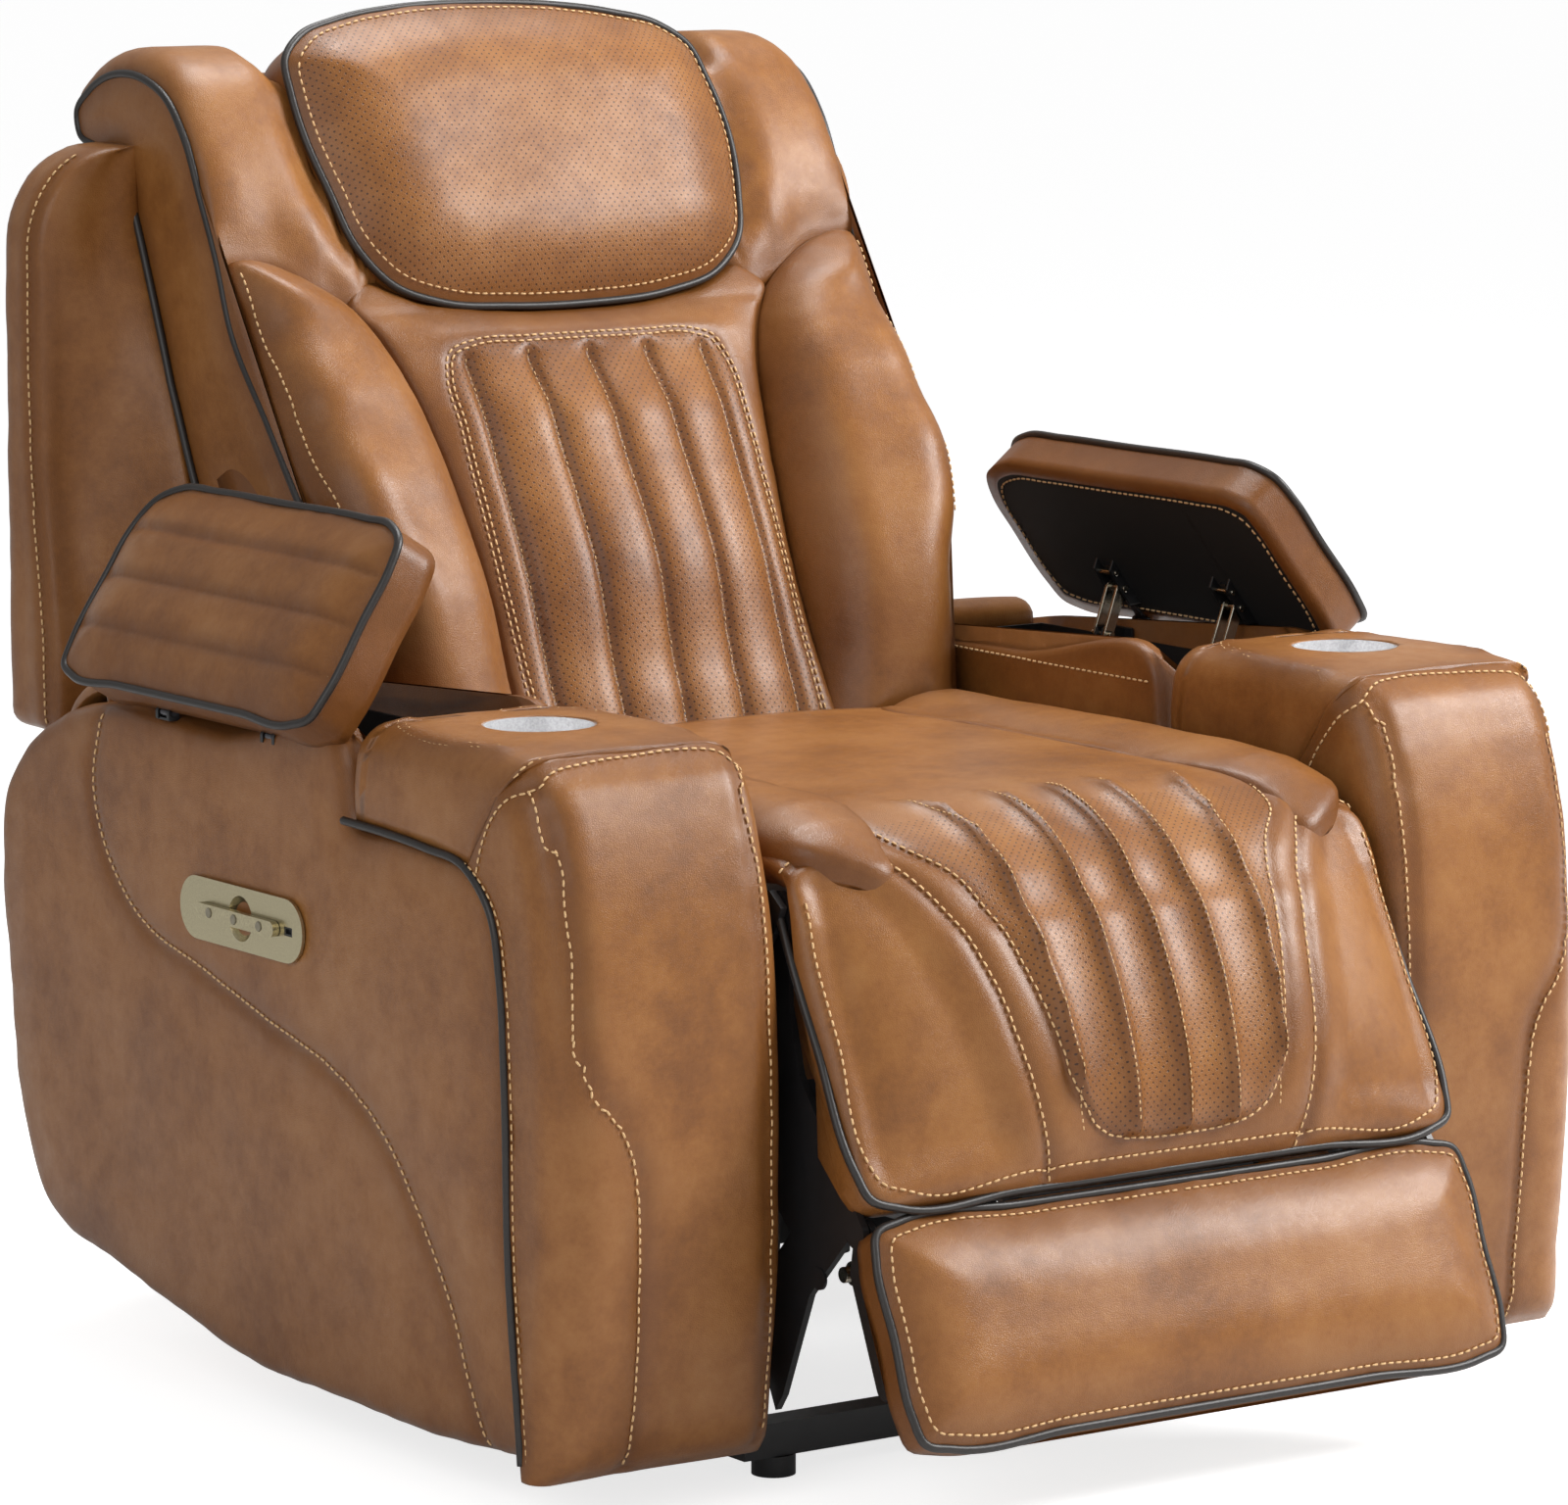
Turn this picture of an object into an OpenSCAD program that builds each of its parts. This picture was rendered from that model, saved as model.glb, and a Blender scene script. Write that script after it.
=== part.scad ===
// Power recliner: padded back with a tilting headrest, a motor-driven leg rest in two boards,
// two arms with a cup holder, a storage bin and a hinged padded lid, on a steel base.
// Millimetres. Floor at z = 0, front towards -Y, left arm on -X.

/* [Seat and arms] */
// Clear width between the inner faces of the two arms
seat_w = 604; // [560:2:680]
// Width of one arm
arm_w = 218; // [208:1:240]
// Length of an arm, from the plane of its front seam to its rear
arm_len = 868; // [850:1:920]
// Height of an arm's outer rim above the floor
arm_top = 572; // [566:1:578]
// Gap between the arm's lower edge and the floor
floor_gap = 35; // [28:1:42]
// How far the padded arm front stands ahead of its seam plane
front_bulge = 33; // [20:1:45]
// Thickness of the padding on an arm's outer side
side_pad_t = 30; // [24:1:34]
// Thickness of the plywood in the arms, the back and the leg rest
board_t = 12; // [9:1:15]
// Height of the seat surface above the floor
seat_top = 535; // [525:1:545]
// Height of the seat cushion's underside
seat_bottom = 415; // [412:1:425]
// Running gap between the seat and what turns beside it
run_gap = 2; // [1:0.5:3]

/* [Leg rest] */
// Distance of the leg rest's hinge behind the arm's seam plane
leg_pivot_y = 10; // [0:1:16]
// Height of the leg rest's hinge
leg_pivot_z = 470; // [464:1:476]
// Lean of the leg rest from vertical, part open
leg_lean = 30; // [26:1:34]
// Length of the leg rest from its hinge
leg_len = 250; // [235:1:254]
// Radius of the seat's rounded front edge, about the hinge
nose_r = 75; // [66:1:80]
// Depth of a pad's side band behind its piping
pad_band = 25; // [20:1:30]
// Lean of the footboard from vertical, part open
foot_lean = 23; // [18:1:28]
// Length of the footboard
foot_len = 180; // [165:1:186]
// Height of the crown on the footboard's pad
foot_crown = 26; // [15:1:32]

/* [Back] */
// Lean of the back's front from vertical
back_lean = 27; // [24:1:29]
// Distance of the back's hinge behind the arm's seam plane
back_pivot_y = 625; // [620:1:630]
// Height of the back's hinge
back_pivot_z = 440; // [436:1:444]
// Half the width of the back at the shoulders
shoulder_x = 335; // [325:1:345]
// Distance of the back's outer wings from the centre
wing_x = 439; // [428:1:448]
// Depth of the grooves between the sewn channels
groove = 7; // [3:0.5:9]
// Distance between the sewn channel seams
channel_w = 62; // [54:1:64]
// Half the width of the headrest
head_x = 222; // [205:1:228]
// Height of the headrest along the back
head_h = 268; // [240:1:275]
// Depth of the headrest behind its piping
head_t = 44; // [35:1:46]

/* [Arm fittings] */
// Outer diameter of the cup holder's rim
cup_rim_d = 107; // [100:1:112]
// Inner diameter of the cup holder
cup_d = 88; // [80:1:92]
// Depth of the cup holder
cup_depth = 64; // [50:1:66]
// Length of the armrest lid
lid_len = 415; // [390:1:420]
// Width of the armrest lid
lid_w = 184; // [176:1:188]
// Thickness of the armrest lid's padding at its edge
lid_pad_t = 30; // [24:1:34]
// Opening angle of the left lid, as modelled
lid_open_left = 58; // [45:1:64]
// Opening angle of the right lid, as modelled
lid_open_right = 52; // [45:1:64]
// Depth of the storage bin
bin_depth = 180; // [140:1:190]
// Length of the control plate
switch_len = 196; // [180:1:210]
// Height of the control plate
switch_h = 53; // [46:1:60]

/* [Mechanism] */
// Thickness of the steel plates and links
steel_t = 6; // [4:0.5:6]
// Radius of the main hinge pins
pin_r = 6; // [4:0.5:7]
// Radial running clearance of a pin in its bore
pin_fit = 0.05; // [0.03:0.01:0.1]
// Side of the square base tube
tube_w = 28; // [24:1:30]
// Height of a foot
foot_h = 18; // [14:1:22]
// Diameter of a foot
foot_d = 36; // [30:1:40]
// Distance between the drive crank's axis and its pin
crank_r = 80; // [76:1:84]

/* [Hidden] */
$fn = 48;

leather = "peru";
seam_leather = "sienna";
steel = "#26262a";
timber = "burlywood";

// Places across the chair, from the arms inwards
inner_x = seat_w / 2;
outer_x = inner_x + arm_w;
plate_x = inner_x - 4;
swing_x = plate_x - steel_t - run_gap;
link_x = swing_x - steel_t - run_gap;
crank_x = link_x - steel_t - run_gap;
cushion_x = swing_x - steel_t - run_gap;
rail_x = crank_x - steel_t - run_gap;
board_x = rail_x + 4;

// Points of the leg rest: u runs down it from its hinge and v runs back from its piping line
function leg_at(u, v) = [
    leg_pivot_y - u * sin(leg_lean) + v * cos(leg_lean),
    leg_pivot_z - u * cos(leg_lean) - v * sin(leg_lean)
];
foot_hinge_u = leg_len + 12;
foot_hinge_v = 30;
foot_hinge = leg_at(foot_hinge_u, foot_hinge_v);
// Points of the footboard: u runs down it from its hinge and v runs back from its piping line
function foot_at(u, v) = [
    foot_hinge[0] - u * sin(foot_lean) + (v - foot_hinge_v) * cos(foot_lean),
    foot_hinge[1] - u * cos(foot_lean) - (v - foot_hinge_v) * sin(foot_lean)
];
// Points of the back: n runs forward from the back's datum line and w runs up along it
back_y = back_pivot_y + 15;
back_z = back_pivot_z - 110;
function back_at(n, w) = [
    back_y - n * cos(back_lean) + w * sin(back_lean),
    back_z + n * sin(back_lean) + w * cos(back_lean)
];
seat_gap = 0.3;
back_board_n = 24;
pillow_rear = back_board_n + board_t + seat_gap;
head_w0 = 570;
board_top_w = head_w0 + 180;
head_front_n = 147;
head_rear_n = head_front_n - head_t;

// Moves a piece from the seam plane's frame to the chair's own centre
module place() {
    translate([0, -centre_y, 0]) children();
}
// Extrudes a (y, z) outline across the chair from x0 to x1
module across(x0, x1) {
    translate([x0, 0, 0]) rotate([90, 0, 90]) linear_extrude(x1 - x0) children();
}
// A piece and its mirror image on the other side
module both() {
    children();
    mirror([1, 0, 0]) children();
}
// A piece drawn on the right, placed on the side s: -1 for left, 1 for right
module side(s) {
    mirror([s < 0 ? 1 : 0, 0, 0]) children();
}
// A round pin or disc along X
module pin(at, x0, x1, r) {
    translate([x0, at[0], at[1]]) rotate([0, 90, 0]) cylinder(h = x1 - x0, r = r);
}
// A flat outline that joins two discs
module bar_outline(a, b, r) {
    hull() {
        translate(a) circle(r, $fn = 32);
        translate(b) circle(r, $fn = 32);
    }
}

// Smooth step from 0 to 1 between a and b
function ease(a, b, x) = let (t = min(1, max(0, (x - a) / (b - a)))) t * t * (3 - 2 * t);
function mix(a, b, t) = a + (b - a) * t;
// Drop of a rounded edge of radius r at a distance d inside that edge
function round_drop(d, r) = d >= r ? 0 : r - sqrt(max(0, r * r - (r - d) * (r - d)));
// Height along a straight line through the points of a list, each [x, height]
function along(list, x) =
    x <= list[0][0] ? list[0][1] :
    x >= list[len(list) - 1][0] ? list[len(list) - 1][1] :
    let (i = max([for (k = [0:len(list) - 2]) list[k][0] <= x ? k : 0]))
    mix(list[i][1], list[i + 1][1], ease(list[i][0], list[i + 1][0], x));
// Depth of the sewn channels at x: a narrow valley at each seam
channel_seams = [-2, -1, 0, 1, 2];
function channel_dip(x) =
    groove * max([for (k = channel_seams) exp(-pow((x - k * channel_w) / 9, 2))]);
// Stations across a channelled pad: each seam, its shoulders and each crest, then the smooth sides
function channel_stations(edge) = let (
    seams = [for (k = channel_seams) each [k * channel_w - 12, k * channel_w, k * channel_w + 12]],
    crests = [for (k = [-1.5:1:1.5]) k * channel_w],
    sides = [for (d = [0, 4, 14, 34, 70, 105]) edge - d]
) sort_list(concat(seams, crests, sides, [for (s = sides) -s]));
function sort_list(v) = len(v) <= 1 ? v : let (
    p = v[floor(len(v) / 2)],
    low = [for (a = v) if (a < p - 0.5) a],
    high = [for (a = v) if (a > p + 0.5) a]
) concat(sort_list(low), [p], sort_list(high));

// A solid through a stack of closed rings. Each ring has an upper row and a lower row of m points.
function loft_faces(rings, m) = let (n = 2 * m) concat(
    [for (i = [0:rings - 2], j = [0:n - 1])
        each let (a = i * n + j, b = i * n + (j + 1) % n) [[a, b, b + n], [a, b + n, a + n]]],
    [for (j = [0:m - 2]) each [[j, n - 1 - j, j + 1], [j + 1, n - 1 - j, n - 2 - j]]],
    [for (j = [0:m - 2]) let (e = (rings - 1) * n)
        each [[e + j, e + j + 1, e + n - 1 - j], [e + j + 1, e + n - 2 - j, e + n - 1 - j]]]
);
module loft(rings, flip = false) {
    faces = loft_faces(len(rings), len(rings[0]) / 2);
    polyhedron(
        points = [for (r = rings) each r],
        faces = flip ? [for (f = faces) [f[0], f[2], f[1]]] : faces,
        convexity = 6
    );
}
// One ring in the side plane at x: an upper row and a lower row of (y, z) points
function side_ring(x, upper, lower) = [
    for (p = upper) [x, p[0], p[1]],
    for (i = [len(lower) - 1:-1:0]) [x, lower[i][0], lower[i][1]]
];

// Base: steel tubes on four feet
rail_w = 24;
base_z0 = foot_h - 1;
rail_front_y = 76;
rail_rear_y = 700;
module base_side_rails() place() color(steel) both()
    translate([rail_x - 2, rail_front_y, base_z0])
        cube([plate_x - steel_t - rail_x + 2, rail_rear_y - rail_front_y, tube_w]);
module base_cross_tubes() place() color(steel)
    for (y = [rail_front_y - tube_w, rail_rear_y])
        translate([2 - plate_x, y, base_z0]) cube([2 * plate_x - 4, tube_w, tube_w]);
foot_x = rail_x - 8;
foot_y = [rail_front_y - tube_w / 2, rail_rear_y + tube_w / 2];
module base_feet() place() color("#141416") both()
    for (y = foot_y) translate([foot_x, y, 0]) cylinder(h = base_z0, d = foot_d);

// Side plates: they carry the seat, the arms and every main hinge
torque_y = leg_pivot_y + 150;
torque_z = leg_pivot_z - 170;
torque_r = 14;
torque_stub_r = 8;
arm_bosses = [[leg_pivot_y + 130, 390], [back_pivot_y - 65, 395], [170, 140], [480, 200]];
module mechanism_plate() {
    difference() {
        union() {
            across(plate_x - steel_t, plate_x) polygon([
                [leg_pivot_y - 16, leg_pivot_z + 4], [leg_pivot_y, leg_pivot_z + 16],
                [leg_pivot_y + 40, leg_pivot_z + 8], [leg_pivot_y + 150, seat_bottom + 8],
                [back_pivot_y - 70, seat_bottom + 8], [back_pivot_y - 25, back_pivot_z + 14],
                [back_pivot_y, back_pivot_z + 18], [back_pivot_y + 18, back_pivot_z],
                [back_pivot_y, back_pivot_z - 40], [back_pivot_y - 90, 300],
                [back_pivot_y - 130, 120], [back_pivot_y - 130, base_z0],
                [rail_front_y + 60, base_z0], [rail_front_y + 60, 120],
                [torque_y - 22, torque_z - 40], [torque_y - 34, torque_z + 20],
                [leg_pivot_y - 6, leg_pivot_z - 18]
            ]);
            pin([leg_pivot_y, leg_pivot_z], swing_x - steel_t, plate_x - 1, pin_r);
            pin([back_pivot_y, back_pivot_z], swing_x - steel_t, plate_x - 1, pin_r);
            for (at = arm_bosses) pin(at, plate_x - 1, inner_x - seat_gap, 12);
        }
        pin([torque_y, torque_z], plate_x - steel_t - 1, plate_x + 1, torque_stub_r + pin_fit);
        pin([torque_y + 130, torque_z - 60], plate_x - steel_t - 1, plate_x + 1, 34);
        pin([torque_y + 250, torque_z + 10], plate_x - steel_t - 1, plate_x + 1, 40);
        pin([torque_y + 270, torque_z - 150], plate_x - steel_t - 1, plate_x + 1, 30);
    }
}
module mechanism_plate_left() place() color(steel) side(-1) mechanism_plate();
module mechanism_plate_right() place() color(steel) side(1) mechanism_plate();

// Seat frame: two rails, cross rails and the springs under the cushion
rail_h = 30;
rail_z0 = seat_bottom - seat_gap - rail_h;
seat_rail_x = rail_x - 12;
apron_y = leg_pivot_y + 2 * pad_band + board_t;
seat_rear_y = back_pivot_y - 120;
cross_y = [apron_y + 170, (apron_y + 170 + seat_rear_y + 20) / 2, seat_rear_y + 20];
cross_d = 24;
module seat_side_rails() place() color(steel) both()
    translate([seat_rail_x - 20, apron_y + board_t, rail_z0])
        cube([20, seat_rear_y + 50 - apron_y - board_t, rail_h]);
module seat_cross_rails() place() color(steel)
    for (y = cross_y)
        translate([steel_t - plate_x, y, rail_z0 - cross_d])
            cube([2 * (plate_x - steel_t), cross_d, cross_d]);
spring_r = 1.8;
spring_rows = 5;
spring_y0 = apron_y + board_t + 36;
spring_y1 = seat_rear_y + 8;
module seat_springs() place() color("silver")
    for (k = [0:spring_rows - 1])
        translate([20 - seat_rail_x, mix(spring_y0, spring_y1, k / (spring_rows - 1)), seat_bottom - 5 - spring_r])
            cube([2 * (seat_rail_x - 20), 3 * spring_r, 2 * spring_r]);

// Seat cushion: a crowned pad whose front edge is round about the leg rest's hinge
seat_round = 26;
function nose(x) = nose_r * pow(max(0, 1 - pow(abs(x) / (cushion_x + 4), 4)), 0.5)
    - channel_dip(x) * ease(160, 140, abs(x));
function seat_height(x, y) = let (
    rear = seat_top + 6 * cos(min(90, abs(x) / cushion_x * 90)) - round_drop(cushion_x - abs(x), seat_round),
    front = leg_pivot_z + nose(x)
) mix(front, rear, ease(leg_pivot_y, leg_pivot_y + 150, y));
nose_steps = [-38, -10, 20, 50, 75, 90];
function seat_upper(x) = concat(
    [for (a = nose_steps) [
        leg_pivot_y - nose(x) * cos(a), leg_pivot_z + nose(x) * sin(a)]],
    [for (y = [60, 130, 230, 340, 440, 500]) [y, seat_height(x, y)]],
    [[back_at(0, 0)[0] - 114, seat_height(x, 500) - 10]]
);
// The underside rises at its front corners, clear of the leg rest's pad and links as they turn
seat_side_rise = 18;
function seat_lower(x) = let (
    n = len(seat_upper(x)),
    low = seat_bottom + seat_side_rise * ease(cushion_x - 14, cushion_x - 4, abs(x)),
    front = max(low, leg_pivot_z - 0.8 * nose(x)),
    y1 = leg_pivot_y + pad_band + 4
) concat(
    [[leg_pivot_y + 0.3 * nose(x), front], [y1, front]],
    [for (i = [0:n - 3]) [mix(y1 + 4, seat_rear_y, i / (n - 3)), low]]
);
module seat_cushion() place() color(leather)
    loft([for (x = channel_stations(cushion_x)) side_ring(x, seat_upper(x), seat_lower(x))]);

// Leather-covered board under the front of the seat
apron_h = 110;
module seat_apron() place() color(seam_leather)
    translate([-seat_rail_x, apron_y, seat_bottom - 1 - apron_h])
        cube([2 * seat_rail_x, board_t, apron_h]);

// Drive: a motor at the rear pushes a block along a channel under the seat
block_z = torque_z - crank_r;
channel_h = 20;
channel_half = 22;
channel_y0 = 96;
channel_y1 = 560;
motor_y = channel_y1 + 90;
module motor_channel() place() color(steel) {
    difference() {
        translate([-channel_half, channel_y0, block_z - 32])
            cube([2 * channel_half, channel_y1 - channel_y0, channel_h]);
        translate([-channel_half + 4, channel_y0 - 1, block_z - 28])
            cube([2 * channel_half - 8, channel_y1 - channel_y0 + 2, channel_h]);
    }
    both() across(11, 15) polygon([
        [channel_y0, block_z - 30], [channel_y0 + 14, block_z - 30],
        [rail_front_y, base_z0 + tube_w + seat_gap], [rail_front_y - 20, base_z0 + tube_w + seat_gap]]);
}
module recline_motor() place() color("#1c1c1e") {
    translate([-34, channel_y1, block_z - 44]) cube([68, motor_y - channel_y1, 56]);
    translate([0, channel_y1 + 40, block_z + 11]) cylinder(h = 96, r = 27);
    across(-20, 20) polygon([
        [motor_y - 30, block_z - 43], [motor_y, block_z - 43],
        [rail_rear_y + 12, base_z0 + tube_w + seat_gap], [rail_rear_y, base_z0 + tube_w + seat_gap]]);
}
inlet_len = 56;
inlet_deep = 17;
inlet_rear_y = channel_y1 + 20 + inlet_len;
module power_inlet() place() color("#101012") difference() {
    translate([34, channel_y1 + 20, block_z - 40]) cube([34, inlet_len, 40]);
    translate([51, inlet_rear_y - inlet_deep, block_z - 20]) rotate([-90, 0, 0]) cylinder(h = 30, r = 7);
}

// Arms
function arm_outline() = [
    [29, floor_gap + 10], [317, floor_gap + 8], [442, floor_gap + 12], [arm_len - 308, floor_gap + 32],
    [arm_len - 192, floor_gap + 55], [arm_len - 70, floor_gap + 91], [arm_len - 30, floor_gap + 150],
    [arm_len - 11, arm_top - 260], [arm_len, arm_top - 156], [arm_len - 6, arm_top - 89],
    [arm_len - 34, arm_top - 48], [arm_len - 72, arm_top - 25], [arm_len - 135, arm_top - 1],
    [arm_len - 168, arm_top]
];
// Line of the piping between an arm's front and its sides, as (z, y) up the front and then along the pod
piping_up = [[floor_gap, 28], [54, 29], [199, 45], [354, 50], [430, 56], [482, 70], [512, 105]];
piping_line = concat([for (p = piping_up) [p[1], p[0]]], [[162, 520], [287, 523.5]]);
bin_y0 = 292;
bin_y1 = bin_y0 + lid_len;
// Outline of the arm's outer pad: behind the front piping and under the cup pod
function side_pad_outline() = concat(
    arm_outline(),
    [[bin_y0 - 4, arm_top]],
    [for (i = [len(piping_line) - 1:-1:1]) piping_line[i]]
);
module inset_slab(x0, x1, r, steps = 3) {
    across(x0, x1 - r) children();
    for (k = [0:steps - 1]) {
        a0 = 90 * k / steps;
        a1 = 90 * (k + 1) / steps;
        across(x1 - r + r * sin(a0), x1 - r + r * sin(a1)) offset(delta = -r * (1 - cos(a1))) children();
    }
}
side_pad_x0 = outer_x - side_pad_t;
module arm_side_pad() inset_slab(side_pad_x0, outer_x, 12) polygon(side_pad_outline());
module arm_side_pad_left() place() color(leather) side(-1) difference() {
    arm_side_pad();
    translate([outer_x, switch_y, switch_z]) switch_pocket();
}
module arm_side_pad_right() place() color(leather) side(1) arm_side_pad();

inner_pad_t = 18;
wrap_t = 10;
// Inner face of an arm, with the padded band that closes the arm's rear and its top behind the lid
module arm_inner_pad() {
    across(inner_x, inner_x + inner_pad_t) polygon(concat(
        [[36, floor_gap + 60], [arm_len - 120, floor_gap + 110], [arm_len - 40, 250],
         [arm_len - 14, arm_top - 156], [arm_len - 50, arm_top - 36], [bin_y1 + 62, arm_top + 2],
         [bin_y1 + 20, arm_top + 9], [bin_y1 + 4, arm_top + 4], [bin_y0, arm_top + 4]],
        [for (i = [len(piping_line) - 1:-1:2]) piping_line[i]]));
    across(inner_x + inner_pad_t - 1, side_pad_x0 - seat_gap) {
        difference() {
            polygon(arm_outline());
            offset(delta = -wrap_t) polygon(arm_outline());
            square([arm_len - 308, arm_top]);
            translate([0, floor_gap + 120]) square([bin_y1 + 6, arm_top]);
        }
        polygon([
            [bin_y1 + 6, arm_top - 9], [bin_y1 + 6, arm_top + 6], [bin_y1 + 20, arm_top + 13],
            [bin_y1 + 62, arm_top + 6], [arm_len - 52, arm_top - 26], [arm_len - 40, arm_top - 42],
            [arm_len - 72, arm_top - 30]]);
    }
}
module arm_inner_pad_left() place() color(seam_leather) side(-1) arm_inner_pad();
module arm_inner_pad_right() place() color(seam_leather) side(1) arm_inner_pad();

// Front of an arm: a rounded pad from the floor over the top to the cup pod
front_fit = 0.4;
pod_front_top = [64, 594];
pod_front_low = [108, 528];
function front_profile() = [
    [6, floor_gap + 2], [-10, floor_gap + 16], [-24, 110], [-front_bulge, 220], [-front_bulge, 330],
    [-front_bulge + 5, 420], [-front_bulge + 15, 485], [-front_bulge + 24, 528], [-1, 552], [18, 582], [44, 602]
];
function front_seam() = concat(
    [for (z = [floor_gap + 2, 54, 120, 199, 354, 430, 482, 500, 512])
        [lookup(z, piping_up) - front_fit, z]],
    [pod_front_low - front_fit * [0.83, 0.55], pod_front_top - front_fit * [0.83, 0.55]]
);
front_round = 46;
front_stations = [0, 3, 10, 22, 40];
function front_ring(x, d, r) = let (drop = round_drop(d, r)) side_ring(x,
    [for (i = [0:10]) let (f = front_profile()[i], b = front_seam()[i])
        [min(b[0] - 4, f[0] + drop), f[1] + (i == 0 ? drop * 0.3 : 0) - (i > 8 ? drop * 0.5 : 0)]],
    [for (i = [0:10]) let (b = front_seam()[i]) [b[0], b[1] - (i > 9 ? drop * 0.4 : 0)]]);
module arm_front_pad() {
    loft(concat(
        [for (d = front_stations) front_ring(inner_x + 10 + d, d, front_round - 10)],
        [for (i = [len(front_stations) - 1:-1:0]) let (d = front_stations[i])
            front_ring(outer_x - d, d, front_round)]));
}
module arm_front_pad_left() place() color(leather) side(-1) arm_front_pad();
module arm_front_pad_right() place() color(leather) side(1) arm_front_pad();

// Plywood boards inside each arm, cut down under the storage bin
bin_z1 = arm_top - 6;
function board_outline(front_z, rear_z) = [
    [62, front_z], [440, front_z], [arm_len - 168, rear_z], [arm_len - 58, rear_z + 80],
    [arm_len - 16, arm_top - 162], [arm_len - 90, arm_top - 52], [bin_y1 + 6, arm_top - 12],
    [bin_y1 + 6, bin_z1 - bin_depth - seat_gap], [bin_y0 - 8, bin_z1 - bin_depth - seat_gap],
    [bin_y0 - 8, 523.2], [162, 519], [110, 508], [66, 440]
];
module arm_boards() place() color(timber) both() {
    across(side_pad_x0 - board_t, side_pad_x0) polygon(board_outline(floor_gap + 20, 110));
    across(inner_x + inner_pad_t, inner_x + inner_pad_t + board_t) polygon(board_outline(floor_gap + 70, 170));
}

// Cup pod: the block at the front of the arm's top, with the cup holder's bore
cup_x = (inner_x + outer_x) / 2;
cup_y = 167;
pod_top = 606;
pod_side = 4;
pod_round = 30;
function pod_edge(d) = round_drop(d, pod_round);
function pod_ring(x, d) = let (drop = pod_edge(d), rear = bin_y0 - 5) side_ring(x,
    [pod_front_top + drop * [0.2, -0.5], [90, pod_top - drop], [140, pod_top - drop],
     [rear - 60, pod_top - 2 - drop], [rear - 20, pod_top - 8 - drop * 0.9], [rear - drop * 0.6, pod_top - 34 - drop * 0.3]],
    [pod_front_low + drop * [0.1, 0.3], [125, 525 + drop * 0.3], [162, 524 + drop * 0.3], [220, 525 + drop * 0.3],
     [rear - 22, 530 + drop * 0.3], [rear - 4 - drop * 0.6, 548]]);
pod_stations = [0, 3, 10, 22, 34];
cup_wall = 1.5;
cup_fit = 0.3;
module cup_pod() difference() {
    loft(concat(
        [for (d = pod_stations) pod_ring(inner_x + pod_side + d, d)],
        [for (i = [len(pod_stations) - 1:-1:0]) let (d = pod_stations[i])
            pod_ring(outer_x - 2 - d, d)]));
    translate([cup_x, cup_y, pod_top - cup_depth - 4])
        cylinder(h = cup_depth + 10, d = cup_d + 2 * cup_wall + 2 * cup_fit, $fn = 64);
}
module cup_pod_left() place() color(leather) side(-1) cup_pod();
module cup_pod_right() place() color(leather) side(1) cup_pod();
module cup_holder() translate([cup_x, cup_y, pod_top - cup_depth]) difference() {
    union() {
        cylinder(h = cup_depth + 0.5, d = cup_d + 2 * cup_wall, $fn = 64);
        translate([0, 0, cup_depth + 0.3]) cylinder(h = 2.2, d = cup_rim_d, $fn = 64);
    }
    translate([0, 0, cup_wall]) cylinder(h = cup_depth + 10, d = cup_d, $fn = 64);
}
module cup_holder_left() place() color("lightgray") side(-1) cup_holder();
module cup_holder_right() place() color("lightgray") side(1) cup_holder();

// Storage bin between the arm's boards, under the lid
bin_x0 = inner_x + inner_pad_t + seat_gap;
bin_x1 = side_pad_x0 - seat_gap;
bin_wall = 3;
module storage_bin() difference() {
    translate([bin_x0, bin_y0 + 3, bin_z1 - bin_depth])
        cube([bin_x1 - bin_x0, lid_len - 6, bin_depth]);
    translate([bin_x0 + bin_wall, bin_y0 + 3 + bin_wall, bin_z1 - bin_depth + bin_wall])
        cube([bin_x1 - bin_x0 - 2 * bin_wall, lid_len - 6 - 2 * bin_wall, bin_depth]);
}
module storage_bin_left() place() color("#141312") side(-1) storage_bin();
module storage_bin_right() place() color("#141312") side(1) storage_bin();

// Lids: hinged on the arm's outer rim, each on two links
lid_axis_x = outer_x - 8;
lid_axis_z = arm_top + 6.6;
hinge_y = [bin_y0 + 118, bin_y0 + 288];
hinge_w = 22;
hinge_plate_t = 2;
lid_pin_r = 2.5;
lid_lift = 3;
module lid_rod(y0, y1, r) translate([0, y0, 0]) rotate([-90, 0, 0]) cylinder(h = y1 - y0, r = r, $fn = 32);
// Moves a piece of the lid on the side s from the closed place about its hinge line to the open one
module lid_place(s) place() side(s)
    translate([lid_axis_x, 0, lid_axis_z]) rotate([0, s < 0 ? lid_open_left : lid_open_right, 0]) children();
module lid_hinge_bases() place() color("#303034") both() for (y = hinge_y) difference() {
    union() {
        translate([side_pad_x0 + 1, y - hinge_w / 2, arm_top + seat_gap])
            cube([outer_x - side_pad_x0 - 5, hinge_w, hinge_plate_t]);
        for (e = [y - hinge_w / 2, y + hinge_w / 2 - 4]) {
            translate([lid_axis_x, 0, lid_axis_z]) lid_rod(e, e + 4, 5);
            translate([lid_axis_x - 5, e, arm_top + 1]) cube([10, 4, lid_axis_z - arm_top - 1]);
        }
    }
    translate([lid_axis_x, 0, lid_axis_z]) lid_rod(y - hinge_w, y + hinge_w, lid_pin_r + pin_fit);
}
module lid_hinge_arms(s) color("#48484c") lid_place(s) for (y = hinge_y) {
    lid_rod(y - hinge_w / 2 - 1, y + hinge_w / 2 + 1, lid_pin_r);
    lid_rod(y - 5, y + 5, 4);
    translate([-70, y - 5, -0.5]) cube([70, 10, lid_lift + 0.2]);
}
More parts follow.
